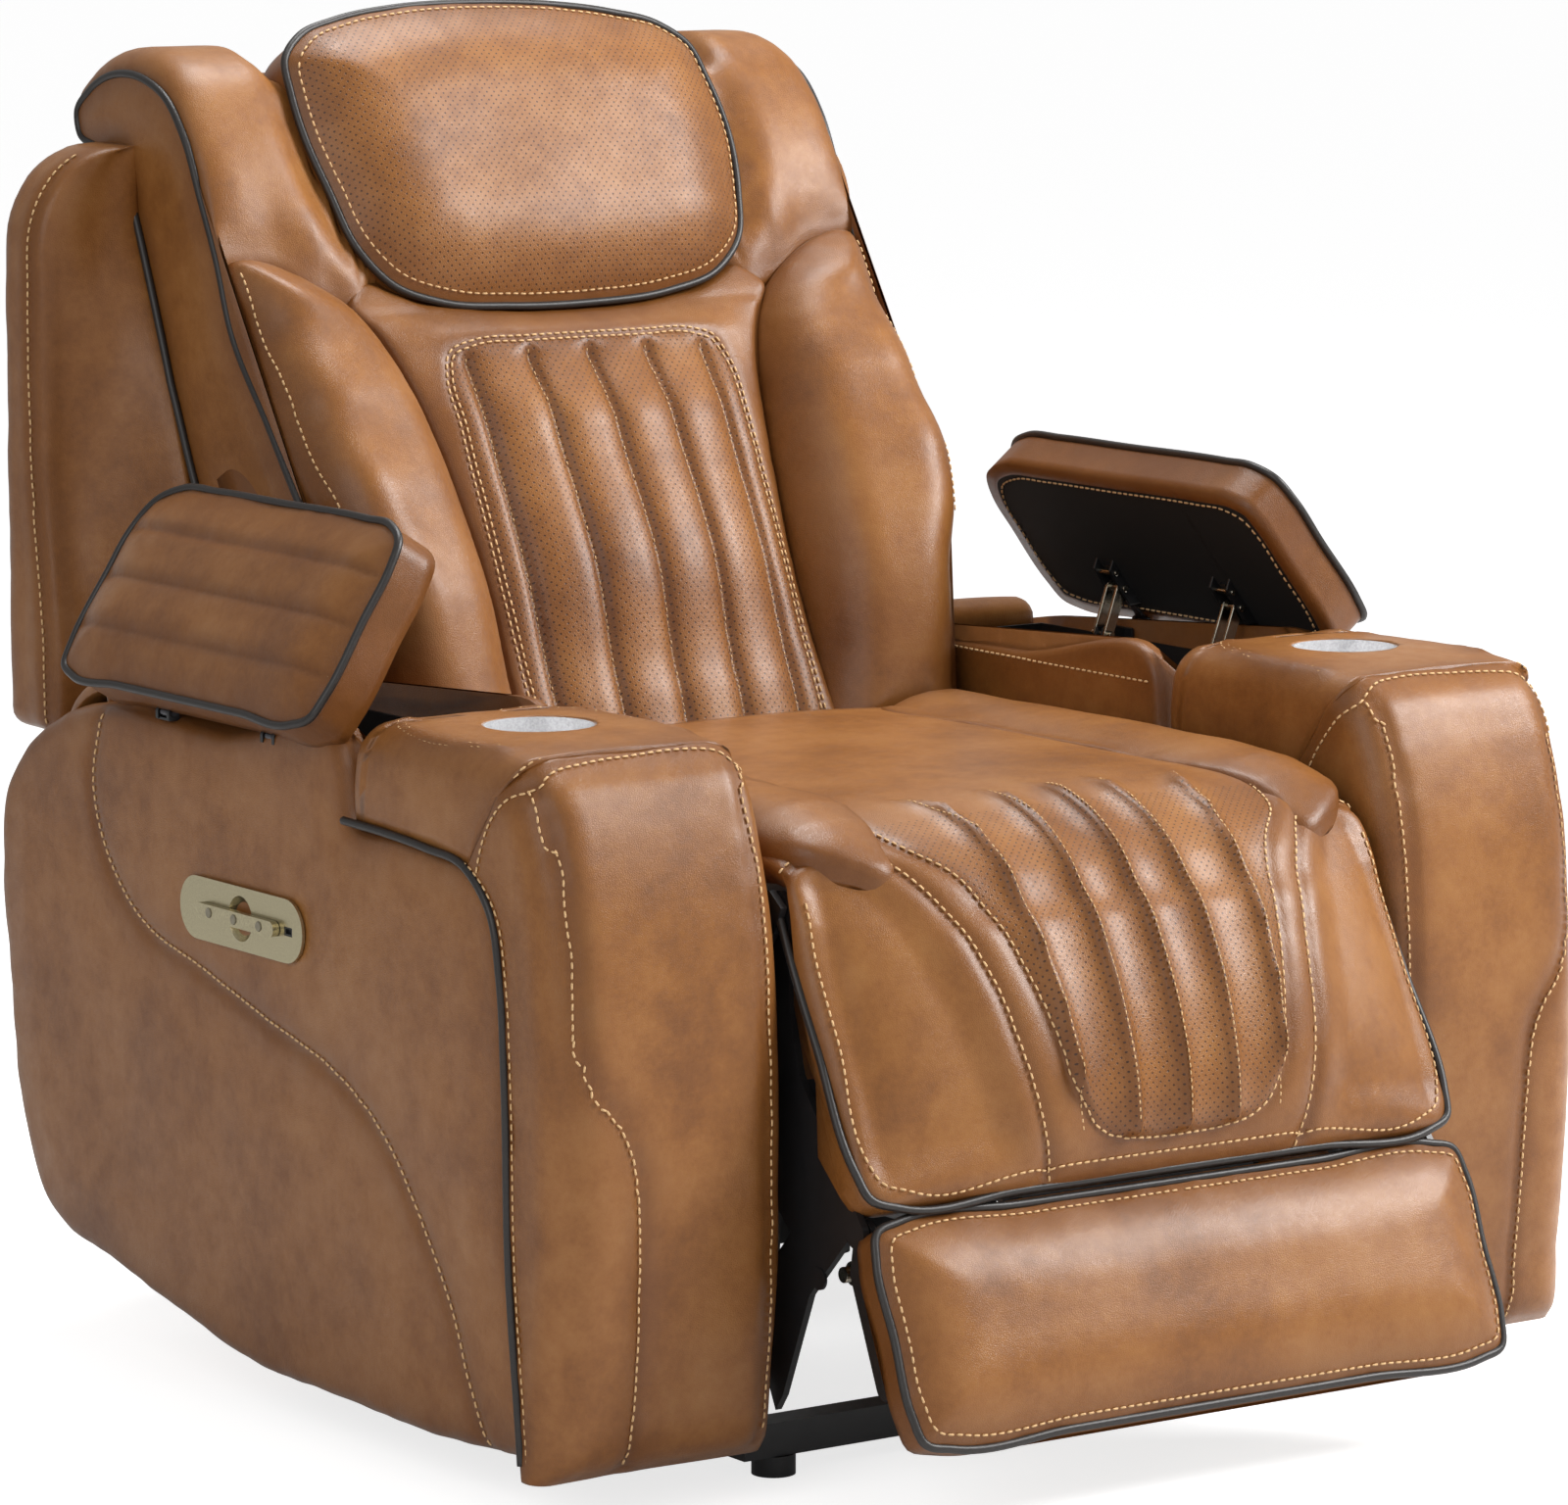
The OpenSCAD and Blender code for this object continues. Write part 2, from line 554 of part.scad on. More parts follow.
module lid_hinge_arms_left() lid_hinge_arms(-1);
module lid_hinge_arms_right() lid_hinge_arms(1);
lid_board_t = 9;
lid_y0 = bin_y0 + 1;
lid_y1 = bin_y1 - 4;
module lid_outline(grow) offset(r = 28, $fn = 32) offset(delta = -28 + grow)
    translate([-lid_w, lid_y0]) square([lid_w, lid_y1 - lid_y0]);
module lid_board(s) color("#121110") lid_place(s)
    translate([0, 0, lid_lift]) linear_extrude(lid_board_t) lid_outline(-10);
module lid_board_left() lid_board(-1);
module lid_board_right() lid_board(1);
lid_crown = 13;
lid_seams = [-lid_w * 0.25, -lid_w * 0.5, -lid_w * 0.75];
function lid_top(x, y) = let (
    edge = min(-x, x + lid_w, y - lid_y0, lid_y1 - y),
    body = lid_pad_t - round_drop(max(0, edge), 14) * 0.8
        + lid_crown * pow(max(0, sin(-x / lid_w * 180)), 0.6) * pow(max(0, sin((y - lid_y0) / (lid_y1 - lid_y0) * 180)), 0.4)
) body - 4 * max([for (s = lid_seams) exp(-pow((x - s) / 6, 2))]) * ease(0, 14, edge);
lid_columns = [0, -3, -10, -24, -38, -46, -54, -70, -84, -92, -100, -114, -130, -138, -146, -160, -174, -181, -184];
lid_rows = [0, 2, 8, 20, 50];
function lid_cut(d) = d >= 28 ? 0 : 28 - sqrt(max(0, 28 * 28 - (28 - d) * (28 - d)));
function lid_ring(y) = let (
    d = min(y - lid_y0, lid_y1 - y),
    cut = lid_cut(d),
    k = (lid_w - 2 * cut) / lid_w,
    xs = [for (c = lid_columns) mix(-lid_w / 2, c * lid_w / 184, k)]
) concat(
    [for (x = xs) [x, y, lid_top(x, y)]],
    [for (i = [len(xs) - 1:-1:0]) [xs[i], y, 0]]
);
module lid_pad(s) color(leather) lid_place(s)
    translate([0, 0, lid_lift + lid_board_t + seat_gap]) loft(concat(
        [for (r = lid_rows) lid_ring(lid_y0 + r)],
        [lid_ring((lid_y0 + lid_y1) / 2)],
        [for (i = [len(lid_rows) - 1:-1:0]) lid_ring(lid_y1 - lid_rows[i])]));
module lid_pad_left() lid_pad(-1);
module lid_pad_right() lid_pad(1);

// Control plate on the left arm's outer side
switch_y = 446;
switch_z = 424;
switch_t = 8;
module stadium(len, h) hull() {
    for (e = [-1, 1]) translate([e * (len - h) / 2, 0]) circle(d = h, $fn = 32);
}
module switch_pocket() rotate([90, 0, 90]) translate([0, 0, -switch_t + 2])
    linear_extrude(switch_t + 4) stadium(switch_len - 8, switch_h - 8);
module switch_plate() place() color("#b9ad8a") side(-1) translate([outer_x, switch_y, switch_z])
    rotate([90, 0, 90]) difference() {
        union() {
            translate([0, 0, 0.3]) linear_extrude(2.5) stadium(switch_len, switch_h);
            translate([0, 0, 2.6 - switch_t]) linear_extrude(switch_t - 2.3) stadium(switch_len - 9, switch_h - 9);
        }
        translate([0, 0, 22]) sphere(r = 27, $fn = 48);
        translate([usb_at, 0, -1]) linear_extrude(8) square([12.4, 7.4], center = true);
    }
usb_at = -76;
module usb_port() place() color("#1a1a1c") side(-1) translate([outer_x, switch_y, switch_z])
    rotate([90, 0, 90]) translate([usb_at, 0, -1]) difference() {
        linear_extrude(3.4) square([12, 7], center = true);
        translate([0, 0, 0.8]) linear_extrude(4) square([9, 4.2], center = true);
    }
bar_len = 126;
bar_h = 13;
bar_z0 = 3.4;
bar_t = 6;
button_at = [-40, 0, 40];
button_r = 4;
button_travel = 1.2;
module switch_bar() place() color("#c2b693") side(-1) translate([outer_x, switch_y, switch_z])
    rotate([90, 0, 90]) difference() {
        union() {
            translate([0, 0, bar_z0]) linear_extrude(bar_t) stadium(bar_len, bar_h);
            for (e = [-1, 1]) translate([e * (bar_len / 2 - 10), 0, 2.9]) cylinder(h = bar_t - 1, r = 4);
        }
        for (b = button_at) translate([b, 0, bar_z0 + 1.5]) cylinder(h = bar_t, r = button_r + 0.3);
    }
module button(b) place() color("#6e6858") side(-1) translate([outer_x, switch_y, switch_z])
    rotate([90, 0, 90]) translate([b, 0, bar_z0 + 1.5 + button_travel + 0.3]) cylinder(h = bar_t - 1.5 - button_travel + 0.5, r = button_r);
module button_recline() button(button_at[0]);
module button_home() button(button_at[1]);
module button_extend() button(button_at[2]);

// Leg rest: a pad that carries on from the seat's round front, on a board and two swing arms
leg_front = [[0, -nose_r], [60, -nose_r + 2], [120, -nose_r + 12], [190, -42], [leg_len - 14, -24], [leg_len, -6]];
leg_fit = 1.2;
function leg_side(x) = pow(max(0, 1 - pow(abs(x) / cushion_x, 4)), 0.5);
function leg_face(x, u) = mix(-1, along(leg_front, u), leg_side(x))
    + channel_dip(x) * ease(160, 140, abs(x)) * ease(leg_len - 4, leg_len - 30, u) * leg_side(x);
leg_corner = 34;
function leg_end(x) = leg_len - round_drop(cushion_x - abs(x), leg_corner);
leg_tip_angle = 4;
// Radius of the pad's hollow face round the seat's front edge, clear of it along every flat
function leg_hollow_r(x) = let (
    r = max(nose(x) + leg_fit, pad_band + 8),
    step = (90 - leg_tip_angle + asin(pad_band / r)) / 3
) r / cos(step / 2);
// The pad's front, from its tip on the round seat edge down to its lower edge
function leg_outer(x) = let (r = leg_hollow_r(x), u0 = r * sin(leg_tip_angle) + 4) [
    for (i = [0:6]) let (u = mix(u0, leg_end(x), i / 6))
        [u, min(leg_face(x, u), -sqrt(max(0, (r + 1.5) * (r + 1.5) - u * u)))]
];
function leg_inner(x) = let (r = leg_hollow_r(x), last = asin(pad_band / r)) [
    for (i = [0:3]) let (a = mix(leg_tip_angle - 90, last, i / 3)) [r * cos(a), r * sin(a)],
    [mix(r * cos(last), leg_end(x), 0.4), pad_band],
    [mix(r * cos(last), leg_end(x), 0.75), pad_band],
    [leg_end(x) - 3, pad_band]
];
function leg_ring(x) = side_ring(x,
    [for (p = leg_outer(x)) leg_at(p[0], p[1])],
    [for (p = leg_inner(x)) leg_at(p[0], p[1])]);
module leg_pad() place() color(leather)
    loft([for (x = channel_stations(cushion_x)) leg_ring(x)], true);
module leg_board() place() color(timber) across(-board_x + 12, board_x - 12)
    polygon([leg_at(90, pad_band + 0.3), leg_at(leg_len - 4, pad_band + 0.3),
             leg_at(leg_len - 4, pad_band + 0.3 + board_t), leg_at(90, pad_band + 0.3 + board_t)]);

board_rear = pad_band + 0.3 + board_t;
swing_v = 38.5;
swing_pin = leg_at(sqrt(crank_r * crank_r - swing_v * swing_v), swing_v);
crank_offset = swing_pin - [leg_pivot_y, leg_pivot_z];
crank_pin = [torque_y, torque_z] + crank_offset;
link_r = 11;
link_pin_r = 5;
module swing_arm() difference() {
    union() {
        across(swing_x - steel_t, swing_x) {
            bar_outline([leg_pivot_y, leg_pivot_z], swing_pin, 15);
            bar_outline(swing_pin, leg_at(120, board_rear + 14), 14);
            bar_outline(leg_at(120, board_rear + 14), foot_hinge, 12);
            difference() {
                polygon([swing_pin + [6, -8], swing_pin + [22, -87], [26, 200], [22, 84], [13, 66],
                         [3, 80], [-34, 168], foot_hinge + [10, -8], leg_at(150, board_rear + 6)]);
                polygon([[12, 232], [16, 188], [-8, 214]]);
            }
        }
        pin(swing_pin, link_x - steel_t, swing_x - 1, link_pin_r);
        pin(foot_hinge, link_x - steel_t, swing_x - 1, 4);
        pin([-48, 184], swing_x - 1, swing_x + 1.5, 9);
        across(board_x - 50, swing_x - 1) polygon([
            leg_at(130, board_rear + 0.3), leg_at(220, board_rear + 0.3),
            leg_at(220, board_rear + 4.3), leg_at(130, board_rear + 4.3)]);
    }
    pin([leg_pivot_y, leg_pivot_z], swing_x - steel_t - 1, swing_x + 1, pin_r + pin_fit);
}
module swing_arms() place() color(steel) both() swing_arm();

// Footboard: the lower pad, on its own board, hinged to the swing arms
foot_top_u = 4;
foot_corner = 26;
function foot_inset(x) = round_drop(cushion_x - abs(x), foot_corner);
function foot_face(x, t) = -foot_crown * pow(sin(180 * min(0.97, max(0.03, t))), 0.5)
    * pow(max(0, 1 - pow(abs(x) / cushion_x, 8)), 0.5);
foot_ts = [0, 0.03, 0.1, 0.25, 0.5, 0.75, 0.9, 0.97, 1];
function foot_ring(x) = let (c = foot_inset(x), a = foot_top_u + c, b = foot_len - c) side_ring(x,
    [for (t = foot_ts) foot_at(mix(a, b, t), t == 0 || t == 1 ? 0 : foot_face(x, t))],
    [for (t = foot_ts) foot_at(mix(a + 2, b - 2, t), pad_band)]);
foot_stations = [0, 3, 10, 24, 60, 140];
module footrest_pad() place() color(leather) loft(concat(
    [for (d = foot_stations) foot_ring(d - cushion_x)], [foot_ring(0)],
    [for (i = [len(foot_stations) - 1:-1:0]) foot_ring(cushion_x - foot_stations[i])]), true);
module footrest_board() place() color(timber) across(-board_x + 12, board_x - 12)
    polygon([foot_at(14, pad_band + 0.3), foot_at(foot_len - 10, pad_band + 0.3),
             foot_at(foot_len - 10, board_rear), foot_at(14, board_rear)]);
module footrest_brackets() place() color(steel) both() difference() {
    union() {
        across(link_x - steel_t, link_x) {
            bar_outline(foot_hinge, foot_at(30, board_rear + 12), 11);
            bar_outline(foot_at(30, board_rear + 12), foot_at(120, board_rear + 12), 11);
        }
        across(board_x - 50, link_x - 1) polygon([
            foot_at(40, board_rear + 0.3), foot_at(120, board_rear + 0.3),
            foot_at(120, board_rear + 4.3), foot_at(40, board_rear + 4.3)]);
    }
    pin(foot_hinge, link_x - steel_t - 1, link_x + 1, 4 + pin_fit);
}

// Drive train: torque tube with three cranks, and the links to the swing arms
centre_crank = [torque_y, torque_z] + crank_r * [sin(15), -cos(15)];
module torque_tube() place() color(steel) {
    pin([torque_y, torque_z], -crank_x, crank_x, torque_r);
    both() {
        pin([torque_y, torque_z], crank_x - 1, plate_x - 0.5, torque_stub_r);
        across(crank_x - steel_t, crank_x) bar_outline([torque_y, torque_z], crank_pin, 15);
        pin(crank_pin, crank_x - 1, link_x, link_pin_r);
        across(8, 8 + steel_t) bar_outline([torque_y, torque_z], centre_crank, 15);
    }
    pin(centre_crank, -9, 9, 6);
}
open_clear = 1;
module drive_links() place() color("#303036") both() difference() {
    across(link_x - steel_t, link_x) bar_outline(swing_pin, crank_pin, link_r);
    pin(crank_pin, link_x - steel_t - 1, link_x + 1, link_pin_r + pin_fit);
    pin(swing_pin, link_x - steel_t - 1, link_x + 1, link_pin_r + open_clear);
}
// Block on the motor's channel: a yoke holds the centre crank's pin with room fore and aft
yoke_gap = 3;
module actuator_block() place() color("#2c2c30") difference() {
    translate([-6.5, centre_crank[0] - 26, block_z - 27.5]) cube([13, 52, 55]);
    translate([-8, centre_crank[0] - 6 - yoke_gap, block_z - 12]) cube([16, 12 + 2 * yoke_gap, 60]);
}

// Back: board and brackets, cushions, shoulders and wings
head_plate_x = 106;
module back_board() place() color(timber) difference() {
    across(-board_x + 10, board_x - 10) polygon([
        back_at(back_board_n, 150), back_at(back_board_n, board_top_w),
        back_at(back_board_n + board_t, board_top_w), back_at(back_board_n + board_t, 150)]);
    both() across(head_plate_x - steel_t - 2, head_plate_x + 2) polygon([
        back_at(back_board_n - 1, head_w0 - 18), back_at(back_board_n - 1, head_w0 + 6),
        back_at(pillow_rear + 1, head_w0 + 6), back_at(pillow_rear + 1, head_w0 - 18)]);
}
module back_brackets() place() color(steel) both() difference() {
    union() {
        across(swing_x - steel_t, swing_x) {
            bar_outline([back_pivot_y, back_pivot_z], back_at(16, 170), 14);
            bar_outline(back_at(16, 170), back_at(16, 300), 14);
        }
        across(board_x - 40, swing_x - 1) polygon([
            back_at(back_board_n - seat_gap, 200), back_at(back_board_n - seat_gap, 310),
            back_at(back_board_n - seat_gap - 4, 310), back_at(back_board_n - seat_gap - 4, 200)]);
    }
    pin([back_pivot_y, back_pivot_z], swing_x - steel_t - 1, swing_x + 1, pin_r + pin_fit);
}
// Seam between the centre cushion and a bolster, as half a width at each height
seam_x = [[90, 162], [290, 164], [360, 170], [430, 178], [head_w0 - 70, 190], [head_w0 - 15, 202]];
centre_w0 = 106;
centre_w1 = head_w0 - 18;
centre_front = [[100, 150], [125, 164], [180, 170], [300, 190], [420, 184], [head_w0 - 64, 168],
    [head_w0 - 34, 136], [centre_w1, 108]];
centre_ws = [centre_w0, 112, 125, 150, 200, 260, 330, 400, 460, head_w0 - 64, head_w0 - 40, centre_w1 - 7, centre_w1];
function centre_face(x, w) = let (k = abs(x) / along(seam_x, w))
    mix(along(centre_front, w), min(150, along(centre_front, w)), pow(k, 2.5)) - 6 * ease(0.9, 1, k)
    - channel_dip(x) * ease(146, 136, abs(x)) * ease(150, 180, w) * ease(head_w0 - 58, head_w0 - 80, w);
centre_half = 158;
centre_stations = sort_list(concat(channel_stations(centre_half), [0]));
function centre_x(s, w) = s * along(seam_x, w) / centre_half - sign(s) * ease(140, centre_half, abs(s));
function centre_tuck(w) = w < 110 ? w + 34 : w;
function back_point(x, n, w) = [x, back_at(n, w)[0], back_at(n, w)[1]];
function centre_ring(s) = [
    for (w = centre_ws) back_point(centre_x(s, w), centre_face(centre_x(s, w), w), w),
    for (i = [len(centre_ws) - 1:-1:0]) let (w = centre_ws[i])
        back_point(centre_x(s, w), pillow_rear, centre_tuck(w))
];
module back_centre_cushion() place() color(leather)
    loft([for (s = centre_stations) centre_ring(s)]);

// A bolster beside the centre cushion, widening to the shoulder above the arms
crown_low = [[0, head_w0 + 10], [180, head_w0 + 2], [206, head_w0 - 8], [240, head_w0 + 4],
    [shoulder_x, head_w0 + 54]];
bolster_out = [[90, 280], [176, 282], [210, inner_x - 6], [335, inner_x - 1], [385, shoulder_x - 18],
    [450, shoulder_x - 6], [640, shoulder_x]];
bolster_bulge = [[94, 10], [140, 34], [280, 54], [420, 42], [540, 20], [620, 6]];
bolster_edge = [[94, 164], [200, 190], [300, 200], [356, 192], [447, 170], [538, 150], [626, 140]];
bolster_back = [[335, pillow_rear], [385, -8], [444, -11], [541, 8], [605, 18], [671, 28]];
bolster_w0 = 104;
bolster_w1 = head_w0 - 8;
bolster_ws = [bolster_w0, 116, 140, 180, 240, 300, 335, 385, 450, 510, bolster_w1];
bolster_ss = [0, 0.04, 0.14, 0.3, 0.5, 0.7, 0.86, 0.96, 1];
bolster_top_gap = 2;
bolster_seam_gap = 2.5;
function bolster_top(s) = along(crown_low, mix(along(seam_x, bolster_w1) + bolster_seam_gap, shoulder_x, s)) - bolster_top_gap;
function bolster_w(i, s) = let (w = bolster_ws[i])
    w + (bolster_top(s) - bolster_w1) * ease(385, bolster_w1, w);
function bolster_x(w, s) = mix(along(seam_x, w) + bolster_seam_gap, along(bolster_out, w), s);
function bolster_front(i, s) = let (w = bolster_w(i, s)) back_point(
    bolster_x(w, s),
    mix(148, along(bolster_edge, w), s) + along(bolster_bulge, w) * pow(sin(180 * min(0.985, max(0.015, s))), 0.6),
    w);
function bolster_rear(i, s) = let (w = bolster_w(i, s), x = bolster_x(w, s)) back_point(
    x,
    mix(pillow_rear, along(bolster_back, w), ease(0.7, 0.86, s)),
    i == 0 ? w + 26 : w);
module back_bolster() loft([for (s = bolster_ss) concat(
    [for (i = [0:10]) bolster_front(i, s)],
    [for (i = [10:-1:0]) bolster_rear(i, s)])]);
module back_bolster_left() place() color(leather) side(-1) back_bolster();
module back_bolster_right() place() color(leather) side(1) back_bolster();

// Crown: the padded roll over the board's upper edge, with a pocket for the headrest.
// Its section runs up the front, over the top and down the rear, each point [n, height over head_w0]
crown_roll = [[136, 151], [125, 195], [102, 222], [73, 242], [40, 254], [6, 256], [-20, 250], [-28, 233], [-18, 217]];
crown_under = [[pillow_rear, -50], [pillow_rear, -15], [pillow_rear, -5], [pillow_rear, 0.5], [32, 3], [26, 6],
    [16, 11], [6, 17], [-6, 26]];
crown_starts = [0, 0.06, 0.4];
crown_swell = 24;
crown_dip = 30;
pocket_n = head_rear_n - 20;
function swell_at(x) = 1 - round_drop(shoulder_x - abs(x), 35) / 35;
function pocket_at(x) = 1 - ease(head_x + 4, head_x + 30, abs(x));
function crown_depth(x, n) = let (out = n + 8 * swell_at(x) * ease(60, 130, n))
    mix(out, min(out, pocket_n), pocket_at(x));
function crown_rise(x, w) = w + crown_swell * swell_at(x) * ease(110, 230, w) - crown_dip * pocket_at(x) * ease(151, 222, w);
function crown_ring(x) = let (lo = along(crown_low, abs(x)), hi = head_w0 + crown_roll[0][1]) side_ring(x,
    concat(
        [for (t = crown_starts) back_at(crown_depth(x, 138 - 9 * pow(1 - t, 6)), mix(lo, hi, t))],
        [for (p = crown_roll) back_at(crown_depth(x, p[0]), head_w0 + crown_rise(x, p[1]))]),
    concat(
        [for (t = crown_starts) back_at(pillow_rear, mix(lo, hi - 20, t))],
        [for (p = crown_under) back_at(p[0], board_top_w + p[1])]));
crown_stations = [0, 2, 8, 20, 40, 64, 88, 104, 130, 200, 270];
module back_crown() place() color(leather) loft(concat(
    [for (d = crown_stations) crown_ring(d - shoulder_x)], [crown_ring(0)],
    [for (i = [len(crown_stations) - 1:-1:0]) crown_ring(shoulder_x - crown_stations[i])]));

// Wings: the outer back, standing out beyond the shoulders behind the arms
wing_bottom = 514;
wing_top = 1025;
wing_rear_y = back_pivot_y + 372;
wing_rises = [0, 6, 24, 80, 180, 280, 380, 440, 480, 503, 511];
wing_swing = 286;
wing_in = shoulder_x + seat_gap;
function wing_front_in(z) = max(
    back_at(pillow_rear - 4, 0)[0] + (z - back_at(pillow_rear - 4, 0)[1]) * tan(back_lean),
    z < back_pivot_z + wing_swing - 1
        ? back_pivot_y + sqrt(wing_swing * wing_swing - pow(z - back_pivot_z, 2)) : 0);
function wing_front_out(z) = back_pivot_y + mix(280, 300, ease(560, 760, z));
function wing_outer(z) = wing_x - round_drop(wing_top - z, 90) * 0.9 - round_drop(z - wing_bottom, 16);
function wing_ring(h) = let (
    z = wing_bottom + h,
    rear = wing_rear_y - round_drop(wing_top - z, 30) * 0.5,
    xo = wing_outer(z),
    fo = wing_front_out(z),
    fi = min(fo, wing_front_in(z))
) [
    [wing_in, fi, z], [mix(wing_in, xo, 0.4), mix(fi, fo, 0.62), z],
    [xo - 26, fo - 1, z], [xo - 8, fo + 4, z], [xo, fo + 14, z],
    [xo, rear - 14, z], [xo - 6, rear - 4, z], [xo - 22, rear, z], [mix(wing_in, xo, 0.5), rear, z], [wing_in, rear, z]
];
module back_wing() loft([for (h = wing_rises) wing_ring(h)]);
module back_wing_left() place() color(leather) side(-1) back_wing();
module back_wing_right() place() color(leather) side(1) back_wing();

// Rear panel between the wings, with a header that meets the back board
rear_panel_t = 22;
rear_bottom = 340;
rear_top = 1008;
module back_rear_panel() place() color(seam_leather) {
    across(-shoulder_x, shoulder_x) polygon([
        [wing_rear_y, wing_bottom], [wing_rear_y, rear_top - 14], [wing_rear_y - 12, rear_top],
        back_at(back_board_n - seat_gap, board_top_w - 6), back_at(back_board_n - seat_gap, board_top_w - 60),
        [wing_rear_y - rear_panel_t, 890], [wing_rear_y - rear_panel_t, wing_bottom]]);
    across(10 - inner_x, inner_x - 10) polygon([
        [wing_rear_y, rear_bottom], [wing_rear_y, wing_bottom + 1],
        [wing_rear_y - rear_panel_t, wing_bottom + 1], [wing_rear_y - rear_panel_t, rear_bottom]]);
}

// Headrest motor on the back board, with the two plates that hold the headrest's hinge
head_hinge = back_at(head_rear_n - 14, head_w0 - 6);
head_pin_r = 4;
module headrest_motor() place() color("#1c1c1e") {
    across(-60, 60) polygon([
        back_at(back_board_n - seat_gap, head_w0 - 10), back_at(back_board_n - seat_gap, head_w0 + 80),
        back_at(back_board_n - 32, head_w0 + 80), back_at(back_board_n - 32, head_w0 - 10)]);
    across(-head_plate_x, head_plate_x) polygon([
        back_at(back_board_n - seat_gap, head_w0 - 13), back_at(back_board_n - seat_gap, head_w0 + 1),
        back_at(back_board_n - 6, head_w0 + 1), back_at(back_board_n - 6, head_w0 - 13)]);
    both() difference() {
        across(head_plate_x - steel_t, head_plate_x) bar_outline(head_hinge, back_at(back_board_n, head_w0 - 6), 7);
        pin(head_hinge, head_plate_x - steel_t - 1, head_plate_x + 1, head_pin_r + pin_fit);
    }
}
knuckle_x = head_plate_x - steel_t - 1;
module headrest_board() place() color(timber) {
    across(-150, 150) polygon([
        back_at(head_rear_n - seat_gap, head_w0 + 20), back_at(head_rear_n - seat_gap, head_w0 + head_h - 60),
        back_at(head_rear_n - seat_gap - board_t, head_w0 + head_h - 60),
        back_at(head_rear_n - seat_gap - board_t, head_w0 + 20)]);
    both() {
        across(knuckle_x - steel_t, knuckle_x) bar_outline(head_hinge, back_at(head_rear_n - 7, head_w0 + 26), 6);
        pin(head_hinge, knuckle_x - 1, head_plate_x, head_pin_r);
    }
}
head_ws = [0, 0.015, 0.07, 0.2, 0.4, 0.6, 0.8, 0.93, 0.985, 1];
head_xs = [0, 3, 12, 30, 60, 110, 160];
head_corner = 60;
function head_taper(w) = mix(0.88, 1, ease(head_w0, head_w0 + 150, w));
function head_low(x) = head_w0 + round_drop(head_x - abs(x), 100) * 0.8;
function head_top(x) = head_w0 + head_h - round_drop(head_x - abs(x), head_corner);
function head_face(x, t) = head_front_n
    + 40 * pow(max(0, 1 - pow(abs(x) / head_x, 4)), 0.5) * pow(sin(180 * min(0.985, max(0.015, t))), 0.5);
function head_ring(x) = let (lo = head_low(x), hi = head_top(x)) [
    for (t = head_ws) let (w = mix(lo, hi, t))
        back_point(x * head_taper(w), t == 0 || t == 1 ? head_front_n : head_face(x, t), w),
    for (i = [len(head_ws) - 1:-1:0]) let (w = mix(lo + 5, hi - 8, head_ws[i]))
        back_point(x * head_taper(w), head_rear_n, w)
];
module headrest_pad() place() color(leather) loft(concat(
    [for (d = head_xs) head_ring(d - head_x)], [head_ring(0)],
    [for (i = [len(head_xs) - 1:-1:0]) head_ring(head_x - head_xs[i])]));

// The chair's own centre between its foremost point, on the footboard, and the crown's rear
front_y = min([for (p = foot_ring(0)) p[1]]);
rear_y = max([for (d = crown_stations, p = crown_ring(shoulder_x - d)) p[1]]);
centre_y = (front_y + rear_y) / 2;

base_side_rails();
base_cross_tubes();
base_feet();
mechanism_plate_left();
mechanism_plate_right();
seat_side_rails();
seat_cross_rails();
seat_springs();
seat_cushion();
seat_apron();
recline_motor();
motor_channel();
power_inlet();
arm_boards();
arm_side_pad_left();
arm_side_pad_right();
arm_inner_pad_left();
arm_inner_pad_right();
arm_front_pad_left();
arm_front_pad_right();
cup_pod_left();
cup_pod_right();
cup_holder_left();
cup_holder_right();
storage_bin_left();
storage_bin_right();
lid_hinge_bases();
switch_plate();
switch_bar();
usb_port();
button_recline();
button_home();
button_extend();
lid_board_left();
lid_board_right();
lid_pad_left();
lid_pad_right();
lid_hinge_arms_left();
lid_hinge_arms_right();
leg_pad();
leg_board();
swing_arms();
footrest_pad();
footrest_board();
footrest_brackets();
torque_tube();
drive_links();
actuator_block();
back_board();
back_brackets();
back_centre_cushion();
back_bolster_left();
back_bolster_right();
back_crown();
back_wing_left();
back_wing_right();
back_rear_panel();
headrest_motor();
headrest_pad();
headrest_board();
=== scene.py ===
import math

import bpy
import numpy as np
from bpy.props import FloatProperty, FloatVectorProperty, PointerProperty
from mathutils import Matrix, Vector, noise
from mathutils.bvhtree import BVHTree
from mathutils.geometry import delaunay_2d_cdt


